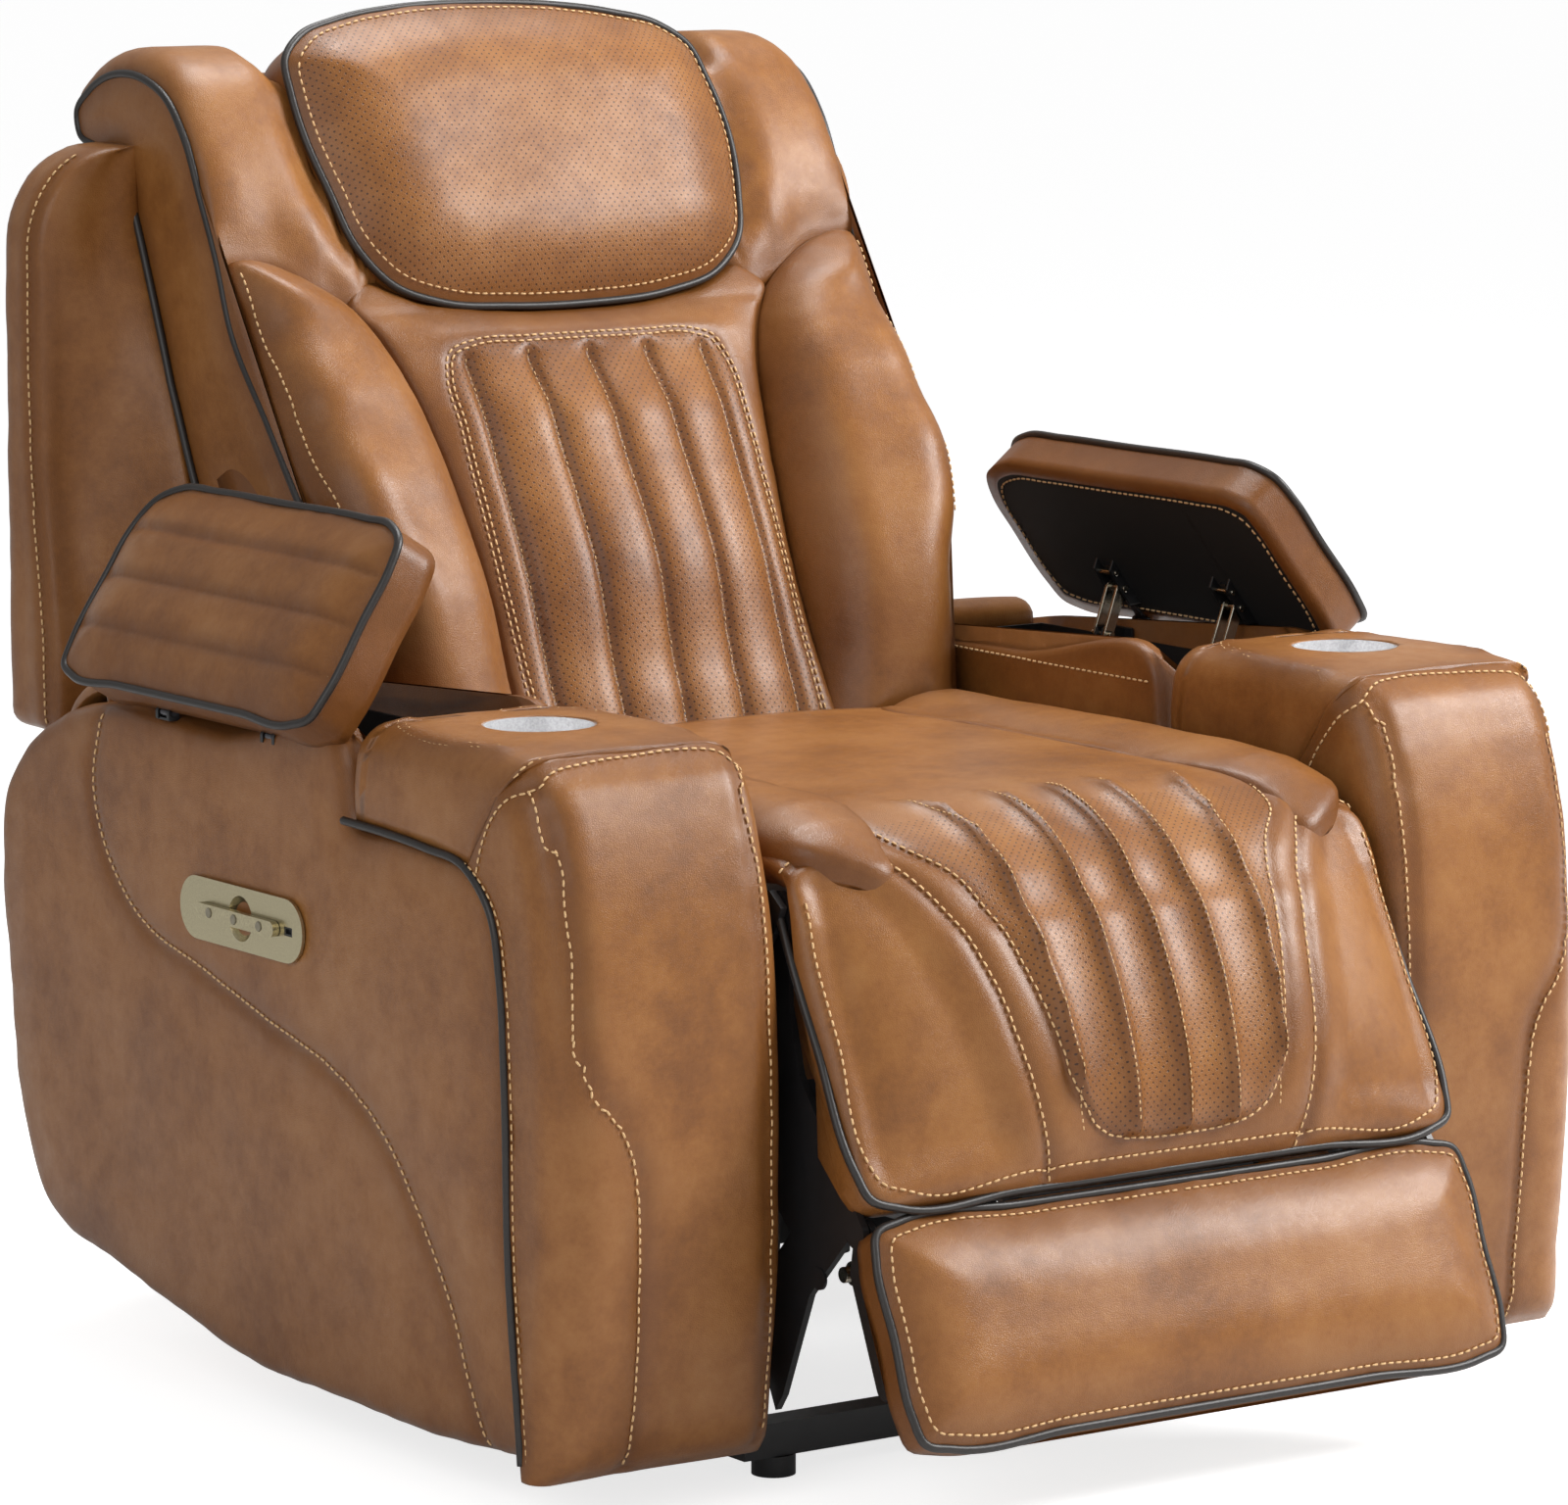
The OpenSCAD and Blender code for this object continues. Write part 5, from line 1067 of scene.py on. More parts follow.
def centre_skin():
    """Centre of the back: five sewn seams and a perforated panel inside a plain margin."""
    half = [(x - 1.5, w) for w, x in CENTRE_SEAM[1:]]
    top = [(196, 577), (172, 568), (150, 556), (110, 548), (60, 542), (0, 541)]
    outline = both_halves([(162, 108), (162, 180)] + half + top) + [(-80, 106), (0, 106), (80, 106)]

    def rise(p, d):
        k = np.abs(p[:, 0]) / linear(CENTRE_SEAM, p[:, 1])
        middle = along(CENTRE_FRONT, p[:, 1])
        n = mix(middle, np.minimum(150, middle), k ** 2.5)
        near = np.abs(p[:, :1] - BACK_CHANNELS).min(axis=1)
        zone = ease(150, 142, np.abs(p[:, 0])) * ease(505, 490, p[:, 1]) * ease(108, 130, p[:, 1])
        return n - channel_dip(near) * zone - round_drop(d, 8) * 0.8

    skin = quilt(outline, on_back, rise, 4, 38, rims=(1.5, 4))
    near = np.abs(skin.flat[:, :1] - BACK_CHANNELS).min(axis=1)
    x, w = np.abs(skin.flat[:, 0]), skin.flat[:, 1]
    zone = ease(150, 142, x) * ease(505, 490, w) * (skin.inset > 0)
    # Darker beside the channel seams: burnishing and painted shade of the channel valleys
    skin.seam = np.maximum(skin.seam, np.exp(-(near / 8) ** 1.3) * zone)
    corner = np.hypot(np.maximum(0, x - 116), np.maximum(0, w - 475))
    skin.holes = np.clip(np.minimum(np.minimum(148 - x, 507 - w), 32 - corner) / 4, 0, 1)
    return skin


def bolster_skin(mirror):
    """Padded roll beside the centre of the back, its top drawn in like a fin."""
    def rise(p, d):
        inner = linear(CENTRE_SEAM, p[:, 1])
        s = np.clip((p[:, 0] - inner) / (334 - inner), 0, 1)
        swell = dome(d, 62, 2.9)
        edge = mix(146, along(BOLSTER_EDGE, p[:, 1]), s)
        return edge + along(BOLSTER_SWELL, p[:, 1]) * swell - round_drop(d, 6) * 0.5

    return quilt(BOLSTER_OUTLINE, on_back, rise, 6, 44, mirror=mirror)


def crown_skin():
    """Roll over the back's upper edge with a pocket behind the headrest."""
    d = np.concatenate([[0, 1.5, 4, 8, 13, 20, 28, 36], np.arange(44, 90, 8), np.arange(92, 180, 3),
                        np.arange(184, 335, 8), [335]])
    xs = np.concatenate([d - 335, (335 - d[:-1])[::-1]])
    low = along(CROWN_LOW, np.abs(xs))
    swell = 1 - round_drop(SHOULDER_X - np.abs(xs), 35) / 35
    rows = []
    for n, w in [(133, 0.0), (138, 0.04), (142, 0.1), (145, 0.2), (144.5, 0.4), (143, 0.7)] + CROWN_ROLL:
        if w <= 1:
            w = mix(low, 721, w)
        w = w + np.zeros(len(xs))
        half = linear(HEAD_HALF, w)
        pocket = (1 - ease(half - 14, half - 3, np.abs(xs))) * ease(850, 800, w)
        out = n + 13 * swell * ease(60, 130, n) * ease(20, 80, w - low)
        out = mix(np.minimum(out, 141), out, ease(half + 1, half + 40, np.abs(xs)))
        depth = mix(out, np.minimum(out, POCKET_DEPTH), pocket)
        wide = 1 - ease(226, 252, np.abs(xs))
        lift = 24 * swell * ease(680, 800, w) - 30 * wide * ease(721, 792, w)
        rows.append(np.stack(back_at(depth, w + lift), axis=1))
    outer = through(np.array(rows), 7)
    hidden = [(6, 766), (20, 757), (34, 752), (36, 740)]
    flat = np.zeros(len(xs))
    inner = [np.stack(back_at(flat + n, flat + w), axis=1) for n, w in hidden]
    inner += [np.stack(back_at(flat + 36, mix(low, 740, t)), axis=1) for t in (0.6, 0.25, 0.0)]
    yz = np.concatenate([outer, np.array(inner)])
    rings = np.concatenate([np.broadcast_to(xs, yz.shape[:2])[:, :, None], yz], axis=2)
    return stack(np.swapaxes(rings, 0, 1))


def wing_edge(z):
    """How far out and how far forward a wing's outer edge lies at a height."""
    return (WING_EDGE - float(round_drop(WING_TOP - z, 90)) * 0.9,
            RECLINE_Y + float(mix(280, 300, ease(560, 760, z))))


def wing_skin(mirror):
    """Outer back behind an arm: a tall padded shell."""
    heights = np.unique(np.concatenate([[0, 1, 3, 6, 11, 17, 25], np.arange(35, 480, 11),
                                        [484, 490, 495, 500, 504, 508, 510, 511]]))
    inner_edge = [back_at(n, w)[::-1] for n, w in REAR_PIPING[::-1]]
    rings = []
    for h in heights:
        z = WING_FOOT + h
        rear = WING_REAR - float(round_drop(WING_TOP - z, 30)) * 0.5
        xo, fo = wing_edge(z)
        xo = xo - float(round_drop(z - WING_FOOT, 16))
        high = z - RECLINE_Z
        clear = RECLINE_Y + math.sqrt(CLEAR_RADIUS ** 2 - high ** 2) if high < CLEAR_RADIUS - 1 else 0
        fi = min(fo, max(float(linear(inner_edge, z)) + 3, clear))
        xi = WING_INSIDE
        ring = [(xi, fi), (mix(xi, xo, 0.4), mix(fi, fo, 0.62)), (xo - 26, fo - 1), (xo - 8, fo + 4),
                (xo, fo + 16), (xo + 1.5, mix(fo, rear, 0.5)), (xo, rear - 16), (xo - 6, rear - 4),
                (xo - 22, rear), (mix(xi, xo, 0.5), rear + 1), (xi, rear), (xi, mix(fi, rear, 0.5))]
        line = through(np.array(ring, float)[:, None], 5, closed=True)[:, 0]
        line[:, 0] = np.maximum(line[:, 0], xi)
        rings.append(np.column_stack([line, np.full(len(line), z)]))
    return stack(np.array(rings), mirror=mirror)


def build_back_centre(trim):
    """Centre of the back with its border and channels."""
    skin = centre_skin()
    line = back_line(both_halves(BACK_PANEL))
    skin.sink(line, 2.5, 5, BACK_LOOK)
    skin.ripple(1.3, 100, 40.0, pucker=0.8)
    for shift in (-2.6, 2.6):
        trim.sew(skin, line, BACK_LOOK, shift=shift)
    for x in BACK_CHANNELS:
        row = back_line([(x, 118), (x, 240), (x, 360), (x, 500)])
        trim.sew(skin, row, BACK_LOOK, **CHANNEL_THREAD)
    piece = skin.build("back_centre_panel", ["perforated_leather"], 0.7)
    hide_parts("back_centre_cushion")
    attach(piece, "back")


def build_back_crown(trim):
    """Crown of the back with its rim's stitches."""
    crown = crown_skin()
    for s in (-1, 1):
        edge = on_back(np.array([(s * SHOULDER_X, w) for _, w in SHOULDER_PIPING], float),
                       np.array([n for n, _ in SHOULDER_PIPING], float))
        # Darker beside the shoulder piping and the fin: burnishing and painted shade
        crown.darken(edge, 13, power=1.2)
        fin = back_line([(s * x, w) for x, w in ((206, 557), (240, 575), (290, 598), (334, 620))], 138)
        crown.darken(fin, 14, power=1.2)
    crown.ripple(1.8, 95, 45.0, pucker=1.2)
    for s in (-1, 1):
        trim.sew(crown, back_line([(s * 325, w) for w in (606, 664, 721, 765)]), BACK_LOOK)
    piece = crown.build("back_crown_panel", ["leather"], 0.8)
    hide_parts("back_crown")
    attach(piece, "back")


def build_back_roll(trim, name, s):
    """Bolster beside the centre of the back."""
    roll = bolster_skin(s < 0)
    roll.ripple(1.8, 100, 50.0 + s, pucker=1.3)
    edge = [(s * 325, w) for w in (588, 560, 500, 440, 385)] + [(s * 319, 345), (s * 309, 300)]
    trim.sew(roll, back_line(edge), BACK_LOOK)
    piece = roll.build(f"back_side_roll_{name}", ["leather"], 0.8)
    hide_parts(f"back_bolster_{name}")
    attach(piece, "back")


def build_back_band(trim, name, s):
    """Flat band between a bolster and a wing, with its piping."""
    outline = SHOULDER_PIPING + REAR_PIPING + [(-10, 360), (60, 338), (120, 332)]

    def place(p, h):
        n, w = p[:, 0], p[:, 1]
        low = linear([(330, -4), (360, 0)], w) * ease(60, 150, n)
        shift = linear(BAND_TABLE, w) * ease(150, 60, n) + low
        return np.stack([h + shift, *back_at(n, w)], axis=1)

    band = quilt(outline, place, lambda p, d: 337 + 3.5 * ease(0, 30, d), 6, 334,
                 mirror=s < 0)
    band.ripple(0.8, 90, 55.0 + s)
    front = curve(SHOULDER_PIPING, 3)
    spots = place(front, np.full(len(front), 335.5)) * (s, 1, 1)
    trim.pipe(facing(spots, (s * 0.9, -0.39, 0.19)), lift=0.8)
    rear = curve(REAR_PIPING, 3)
    spots = place(rear, np.full(len(rear), 339.0)) * (s, 1, 1)
    trim.pipe(facing(spots, (s * 0.6, -0.7, 0.2)), lift=1.5)
    piece = band.build(f"back_side_band_{name}", ["leather"], 0.5)
    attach(piece, "back")


def build_back_wing(trim, name, s):
    """Wing behind an arm."""
    wing = wing_skin(s < 0)
    spots = []
    for z in (520, 600, 700, 800, 900, 960, 1000, 1018):
        x, y = wing_edge(z)
        spots.append((s * (x - 2), y + 14, z))
    for row in (spots, [(x, 990, z) for x, _, z in spots]):
        wing.sink(row, 2.0, 5)
    wing.ripple(1.8, 110, 60.0 + s, pucker=1.2)
    trim.sew(wing, spots, shift=3.0 * s)
    piece = wing.build(f"back_wing_panel_{name}", ["leather"], 0.8)
    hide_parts(f"back_wing_{name}")
    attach(piece, "back")


def build_back_rear(trim):
    """Rear cover with its two seams, and the strip over its top."""
    rear = quilt(REAR_OUTLINE, lambda p, h: np.stack([p[:, 0], h, p[:, 1]], axis=1),
                 lambda p, d: 993 + 5 * ease(0, 60, d) - round_drop(d, 5), 9, 976, rims=(1.5, 5),
                 dark_back=True)
    seams = [[(x, 998, z) for z in (350, 600, 800, 1004)] for x in (-112, 112)]
    for row in seams:
        rear.sink(row, 3, 7, look=(0, -1, 0))
    rear.ripple(1.5, 110, 70.0, pucker=1.2)
    for row in seams:
        trim.sew(rear, row, look=(0, -1, 0), shift=3.0)
    piece = rear.build("back_rear_cover", ["leather", "lining_fabric"], 0.4)
    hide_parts("back_rear_panel")
    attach(piece, "back")
    header = band_skin([(996, 1004), (990, 1014), (960, 1010), (925, 995)], -332, 332, 8, 2, False)
    piece = header.build("back_rear_header", ["leather"], 0.3)
    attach(piece, "back")


class RECLINER_OT_back(bpy.types.Operator):
    """Builds the back's centre, bolsters, crown, side bands, wings and rear panel"""
    bl_idname = "recliner.back"
    bl_label = "Back"

    def execute(self, context):
        trim = Trim()
        build_back_centre(trim)
        build_back_crown(trim)
        for name, s in SIDES:
            build_back_roll(trim, name, s)
            build_back_band(trim, name, s)
            build_back_wing(trim, name, s)
        build_back_rear(trim)
        trim.build("back", "back")
        return {"FINISHED"}


class RECLINER_OT_headrest(bpy.types.Operator):
    """Builds the perforated headrest with its piping and border stitches"""
    bl_idname = "recliner.headrest"
    bl_label = "Headrest"

    def execute(self, context):
        def rise(p, d):
            return HEAD_FACE + 40 * dome(d, 100, 2.5)

        skin = quilt(HEADREST, on_back, rise, 5, 104)
        skin.holes = np.clip((skin.inset - 9) / 3, 0, 1)
        skin.ripple(1.8, 95, 80.0, pucker=0.8)
        trim = Trim()
        loop = np.array(HEADREST, float)
        rim = back_line(curve(loop, 3, closed=True), HEAD_FACE)
        trim.pipe(facing(rim, -np.array(BACK_LOOK)), lift=0.5, closed=True)
        trim.sew(skin, back_line(drawn_in(loop, (0, 690), (222, 145), 9)), BACK_LOOK, closed=True)
        piece = skin.build("headrest_cushion", ["perforated_leather"], 0.9)
        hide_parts("headrest_pad")
        start, end = spot(0, *back_at(HEAD_FACE, 555)), spot(0, *back_at(HEAD_FACE, 605))
        for item in [piece] + trim.build("headrest"):
            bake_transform(item)
            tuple(start)
            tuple(end)
        return {"FINISHED"}


def block(outline, y0, y1):
    """Corner points and faces of a flat outline carried from y0 to y1 along the arm."""
    n = len(outline)
    points = [(x, y, z) for y in (y0, y1) for x, z in outline]
    faces = [(k, (k + 1) % n, n + (k + 1) % n, n + k) for k in range(n)]
    return points, faces + [tuple(range(n))[::-1], tuple(range(n, 2 * n))]


STEEL_BEVEL = 0.0006
HINGE_PLACES = (410, 580)
LID_PIN, STOP_PIN, BASE_PIN, SWING_PIN = (-46, -4), (-64, -3), (466, 571), (-48, 184)
LID_WALL = [(-76, 2.4), (-70, -7), (-30, -9), (-22, 2.4)]
BRACKET_ARM = [(489, 520), (489, 574), (478, 577), (462, 577), (459, 566), (474, 548), (482, 522)]
BRACKET_PLATE = [(489, 516), (489, 576), (486.5, 576), (486.5, 516)]
SHEET, LINK_THICK, LINK_RADIUS = 2.5, 3, 5.5
PIN_RADIUS, STOP_PIN_RADIUS, PIN_HALF, BASE_PIN_HALF = 3.2, 2.6, 15, 14


def round_points(a, b, radius, turns):
    """Points of a circle about (a, b) at some turns."""
    return [(a + radius * math.cos(t), b + radius * math.sin(t)) for t in turns]


def rod(a, b, y0, y1, radius, sides=20):
    """A round pin along the arm at (a, b)."""
    return block(round_points(a, b, radius, [2 * math.pi * k / sides for k in range(sides)]), y0, y1)


def bar(a, b, y0, y1, radius):
    """A flat link with round ends between two pins."""
    turns = math.atan2(b[1] - a[1], b[0] - a[0]) + np.linspace(-1, 1, 9) * math.pi / 2
    return block(round_points(*b, radius, turns) + round_points(*a, -radius, turns), y0, y1)


def hard_piece(name, parts, place, finish, body):
    """Flat and round steel parts joined into one object, with small bevels."""
    points, faces = [], []
    for some, their in parts:
        faces += [tuple(i + len(points) for i in face) for face in their]
        points += list(some)
    mesh = bpy.data.meshes.new(name)
    mesh.from_pydata(metres(place(np.array(points, float))).tolist(), [], faces)
    mesh.materials.append(FINISHES[finish])
    piece = linked(name, mesh)
    edge = piece.modifiers.new("edge", "BEVEL")
    edge.width, edge.segments, edge.limit_method = STEEL_BEVEL, 2, "ANGLE"
    if body:
        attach(piece, body)
    return piece


class RECLINER_OT_hinges(bpy.types.Operator):
    """Builds the links, pins and brackets that carry the opened lids"""
    bl_idname = "recliner.hinges"
    bl_label = "Lid hinges"

    def execute(self, context):
        for name, s in SIDES:
            opened = opened_lid(name, s)
            turn = math.radians(LID_TURN[name])
            c, w = math.cos(turn), math.sin(turn)

            def lid(p):
                return opened(*p.T)

            def fixed(p):
                return p * (s, 1, 1)

            dx, dz = BASE_PIN[0] - LID_PIVOT_X, BASE_PIN[1] - LID_PIVOT_Z
            low = (dx * c - dz * w, dx * w + dz * c)
            for k, y in enumerate(HINGE_PLACES):
                walls = [block(LID_WALL, y + e, y + e + SHEET) for e in (-13, 10.5)]
                links = [bar(LID_PIN, low, y + e, y + e + LINK_THICK, LINK_RADIUS) for e in (-9, 6)]
                pins = [rod(*LID_PIN, y - PIN_HALF, y + PIN_HALF, PIN_RADIUS),
                        rod(*STOP_PIN, y - PIN_HALF, y + PIN_HALF, STOP_PIN_RADIUS)]
                foot = [rod(*BASE_PIN, y - BASE_PIN_HALF, y + BASE_PIN_HALF, PIN_RADIUS)]
                hard_piece(f"lid_{name}_channel_{k + 1}", walls, lid, "black_steel", f"lid_{name}")
                piece = hard_piece(f"lid_{name}_link_{k + 1}", links, lid, "nickel", None)
                start, end = lid(np.array([(low[0], y, low[1]), (LID_PIN[0], y, LID_PIN[1])], float))
                spot(*start)
                spot(*end)
                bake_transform(piece)
                hard_piece(f"arm_{name}_hinge_pin_{k + 1}", foot, fixed, "nickel", "base")
                hard_piece(f"lid_{name}_pin_{k + 1}", pins, lid, "nickel", f"lid_{name}")
                arms = [block(BRACKET_ARM, y + e, y + e + SHEET) for e in (-5.5, 3)]
                plate = [block(BRACKET_PLATE, y - 16, y + 16)]
                hard_piece(f"arm_{name}_hinge_bracket_{k + 1}", arms + plate, fixed, "black_steel", "base")
            rivet = [rod(*SWING_PIN, 257, 268, 6.5), rod(*SWING_PIN, 256, 259, 10)]
            hard_piece(f"swing_arm_{name}_rivet", rivet, lambda p: fixed(p[:, [1, 0, 2]]), "nickel",
                       "leg_rest")
        return {"FINISHED"}


# Finishes
SOCKETS = {"color": "NodeSocketColor", "value": "NodeSocketFloat", "vector": "NodeSocketVector"}
SURFACE = (("Color", "color"), ("Roughness", "value"), ("Height", "value"))


def node_group(name, inputs, outputs):
    """A new node group with its sockets, and its input and output nodes."""
    group = bpy.data.node_groups.new(name, "ShaderNodeTree")
    for label, kind, value in inputs:
        socket = group.interface.new_socket(name=label, in_out="INPUT", socket_type=SOCKETS[kind])
        socket.default_value = value
    for label, kind in outputs:
        group.interface.new_socket(name=label, in_out="OUTPUT", socket_type=SOCKETS[kind])
    return group, group.nodes.new("NodeGroupInput"), group.nodes.new("NodeGroupOutput")


def add(tree, kind, label="", **values):
    """A shader node with its settings, and its input sockets by name or number in values['sockets']."""
    node = tree.nodes.new(kind)
    sockets = values.pop("sockets", {})
    node.label = label
    for key, value in values.items():
        setattr(node, key, value)
    for key, value in sockets.items():
        if isinstance(value, bpy.types.NodeSocket):
            tree.links.new(value, node.inputs[key])
        else:
            node.inputs[key].default_value = value
    return node


def maths(tree, operation, a, b=0.0):
    """One sum with two values."""
    return add(tree, "ShaderNodeMath", operation=operation, sockets={0: a, 1: b}).outputs[0]


def times(tree, a, b):
    """The product of two values."""
    return maths(tree, "MULTIPLY", a, b)


def vectors(tree, operation, sockets, output=0):
    """One sum with vectors."""
    return add(tree, "ShaderNodeVectorMath", operation=operation, sockets=sockets).outputs[output]


def spread(tree, value, low, high, to_low=0.0, to_high=1.0):
    """Smooth step of a value from one range to another."""
    return add(tree, "ShaderNodeMapRange", interpolation_type="SMOOTHSTEP",
               sockets={0: value, 1: low, 2: high, 3: to_low, 4: to_high}).outputs[0]


def blend_colours(tree, share, a, b):
    """The colour a share of the way from a to b."""
    return add(tree, "ShaderNodeMix", data_type="RGBA", sockets={0: share, 6: a, 7: b}).outputs[2]


def hide_group():
    """Waxed hide: cloudy colour, darker beside the seams and edges from burnishing and painted shade, fine
    grain and creases.
    """
    group, ins, outs = node_group("waxed_hide", [
        ("Shade", "color", (0.1, 0.03, 0.01, 1)), ("Body", "color", (0.3, 0.12, 0.05, 1)),
        ("Bloom", "color", (0.5, 0.25, 0.12, 1)), ("Cloud", "value", 9.0), ("Grain", "value", 620.0),
        ("Burnish and shade", "value", 0.6)], SURFACE)
    place = add(group, "ShaderNodeTexCoord").outputs["Object"]
    seam = add(group, "ShaderNodeAttribute", attribute_name="seam").outputs["Fac"]

    def cloud(scale, detail, rough):
        return add(group, "ShaderNodeTexNoise", sockets={
            "Vector": place, "Scale": scale, "Detail": detail, "Roughness": rough}).outputs["Fac"]

    shade, body, bloom, size = (ins.outputs[label] for label in ("Shade", "Body", "Bloom", "Cloud"))
    broad = cloud(size, 4.0, 0.55)
    middle = cloud(times(group, size, 4.5), 4.0, 0.65)
    fleck = cloud(times(group, size, 21.0), 3.0, 0.6)
    tone = maths(group, "ADD", times(group, broad, 0.52), times(group, middle, 0.33))
    tone = maths(group, "ADD", tone, times(group, fleck, 0.15))
    colour = blend_colours(group, spread(group, tone, 0.30, 0.56, 0.45, 1.0), shade, body)
    colour = blend_colours(group, spread(group, tone, 0.46, 0.72, 0.0, 0.6), colour, bloom)
    # Darker leather along the seam mark: burnishing together with painted shade of seam valleys and rolled
    # edges
    burnish_and_shade = times(group, seam, ins.outputs["Burnish and shade"])
    cloudy_burnish_and_shade = times(group, burnish_and_shade, spread(group, middle, 0.3, 0.6, 0.6, 1.0))
    colour = blend_colours(group, cloudy_burnish_and_shade, colour, shade)
    cells = add(group, "ShaderNodeTexVoronoi", feature="DISTANCE_TO_EDGE",
                sockets={"Vector": place, "Scale": ins.outputs["Grain"]}).outputs["Distance"]
    pebble = spread(group, cells, 0.0, 0.25)
    crease = cloud(times(group, size, 9.0), 5.0, 0.7)
    height = maths(group, "ADD", times(group, pebble, 0.35), crease)
    group.links.new(colour, outs.inputs["Color"])
    group.links.new(spread(group, middle, 0.3, 0.7, 0.42, 0.31), outs.inputs["Roughness"])
    group.links.new(height, outs.inputs["Height"])


def perforation_group():
    """Punched holes on a staggered grid over the surface's own coordinates."""
    group, ins, outs = node_group("punched_holes", [
        ("Pitch", "value", 0.0076), ("Radius", "value", 0.0009)], [("Mask", "value")])
    uv = add(group, "ShaderNodeUVMap", uv_map="UVMap").outputs["UV"]
    inverse = maths(group, "DIVIDE", 1.0, ins.outputs["Pitch"])
    scaled = vectors(group, "SCALE", {0: uv, 3: inverse})
    lengths = []
    for offset in (0.0, 0.5):
        moved = vectors(group, "ADD", {0: scaled, 1: (offset, offset, 0)})
        part = vectors(group, "FRACTION", {0: moved})
        centred = vectors(group, "SUBTRACT", {0: part, 1: (0.5, 0.5, 0)})
        lengths.append(vectors(group, "LENGTH", {0: centred}, "Value"))
    reach = times(group, maths(group, "MINIMUM", *lengths), ins.outputs["Pitch"])
    share = maths(group, "DIVIDE", reach, ins.outputs["Radius"])
    group.links.new(spread(group, share, 0.75, 1.2, 1.0, 0.0), outs.inputs["Mask"])


def wear_group():
    """Fine scratches and dust: a small change of roughness and tone."""
    group, ins, outs = node_group("light_wear", [
        ("Tone", "color", (0.5, 0.5, 0.5, 1)), ("Scale", "value", 60.0), ("Rough", "value", 0.4),
        ("Range", "value", 0.12), ("Stretch", "vector", (1, 1, 1))], SURFACE)
    place = add(group, "ShaderNodeTexCoord").outputs["Object"]
    stretched = vectors(group, "MULTIPLY", {0: place, 1: ins.outputs["Stretch"]})
    spots = add(group, "ShaderNodeTexNoise", sockets={
        "Vector": stretched, "Scale": ins.outputs["Scale"], "Detail": 5.0, "Roughness": 0.6}).outputs["Fac"]
    tone = add(group, "ShaderNodeHueSaturation", sockets={
        "Color": ins.outputs["Tone"], "Value": spread(group, spots, 0.3, 0.7, 0.82, 1.12)}).outputs[0]
    swing = times(group, maths(group, "SUBTRACT", spots, 0.5), ins.outputs["Range"])
    rough = maths(group, "ADD", ins.outputs["Rough"], swing)
    group.links.new(tone, outs.inputs["Color"])
    group.links.new(rough, outs.inputs["Roughness"])
    group.links.new(spots, outs.inputs["Height"])


def material(name):
    """A new finish, its node tree and its shader."""
    finish = bpy.data.materials.new(f"{name}_finish")
    finish.use_nodes = True
    FINISHES[name] = finish
    tree = finish.node_tree
    return finish, tree, tree.nodes["Principled BSDF"]


def relief(tree, shader, height, strength, depth):
    """Bumps of the surface at the shader."""
    bump = add(tree, "ShaderNodeBump", sockets={"Strength": strength, "Distance": depth, "Height": height})
    tree.links.new(bump.outputs[0], shader.inputs["Normal"])


def hide_material(name, colours, punched=False):
    """Waxed leather, with punched holes where the surface asks for them."""
    tree, shader = material(name)[1:]
    hide = add(tree, "ShaderNodeGroup", "Hide", node_tree=bpy.data.node_groups["waxed_hide"])
    for label, value in zip(("Shade", "Body", "Bloom"), colours):
        hide.inputs[label].default_value = (*value, 1)
    colour, rough, height = hide.outputs["Color"], hide.outputs["Roughness"], hide.outputs["Height"]
    if punched:
        zone = add(tree, "ShaderNodeAttribute", attribute_name="holes").outputs["Fac"]
        dots = add(tree, "ShaderNodeGroup", "Holes", node_tree=bpy.data.node_groups["punched_holes"])
        sizes = bpy.context.scene.recliner_sizes
        dots.inputs["Pitch"].default_value = sizes.hole_pitch
        dots.inputs["Radius"].default_value = sizes.hole_radius
        mask = times(tree, dots.outputs["Mask"], maths(tree, "GREATER_THAN", zone, 0.5))
        colour = blend_colours(tree, times(tree, mask, 0.85), colour, (0.035, 0.012, 0.005, 1))
        height = maths(tree, "SUBTRACT", height, times(tree, mask, 2.0))
    tree.links.new(colour, shader.inputs["Base Color"])
    tree.links.new(rough, shader.inputs["Roughness"])
    relief(tree, shader, height, 0.35, 0.0008)
    for label, value in (("Specular IOR Level", 0.34), ("Coat Weight", 0.18), ("Coat Roughness", 0.3)):
        shader.inputs[label].default_value = value


def worn_material(name, tone, rough, metal=0.0, scale=60.0, stretch=(1, 1, 1), depth=0.0001, swing=0.12):
    """A plain finish with light wear."""
    tree, shader = material(name)[1:]
    wear = add(tree, "ShaderNodeGroup", "Wear", node_tree=bpy.data.node_groups["light_wear"])
    for label, value in (("Tone", (*tone, 1)), ("Rough", rough), ("Scale", scale), ("Range", swing),
                         ("Stretch", stretch)):
        wear.inputs[label].default_value = value
    tree.links.new(wear.outputs["Color"], shader.inputs["Base Color"])
    tree.links.new(wear.outputs["Roughness"], shader.inputs["Roughness"])
    shader.inputs["Metallic"].default_value = metal
    relief(tree, shader, wear.outputs["Height"], 0.3, depth)


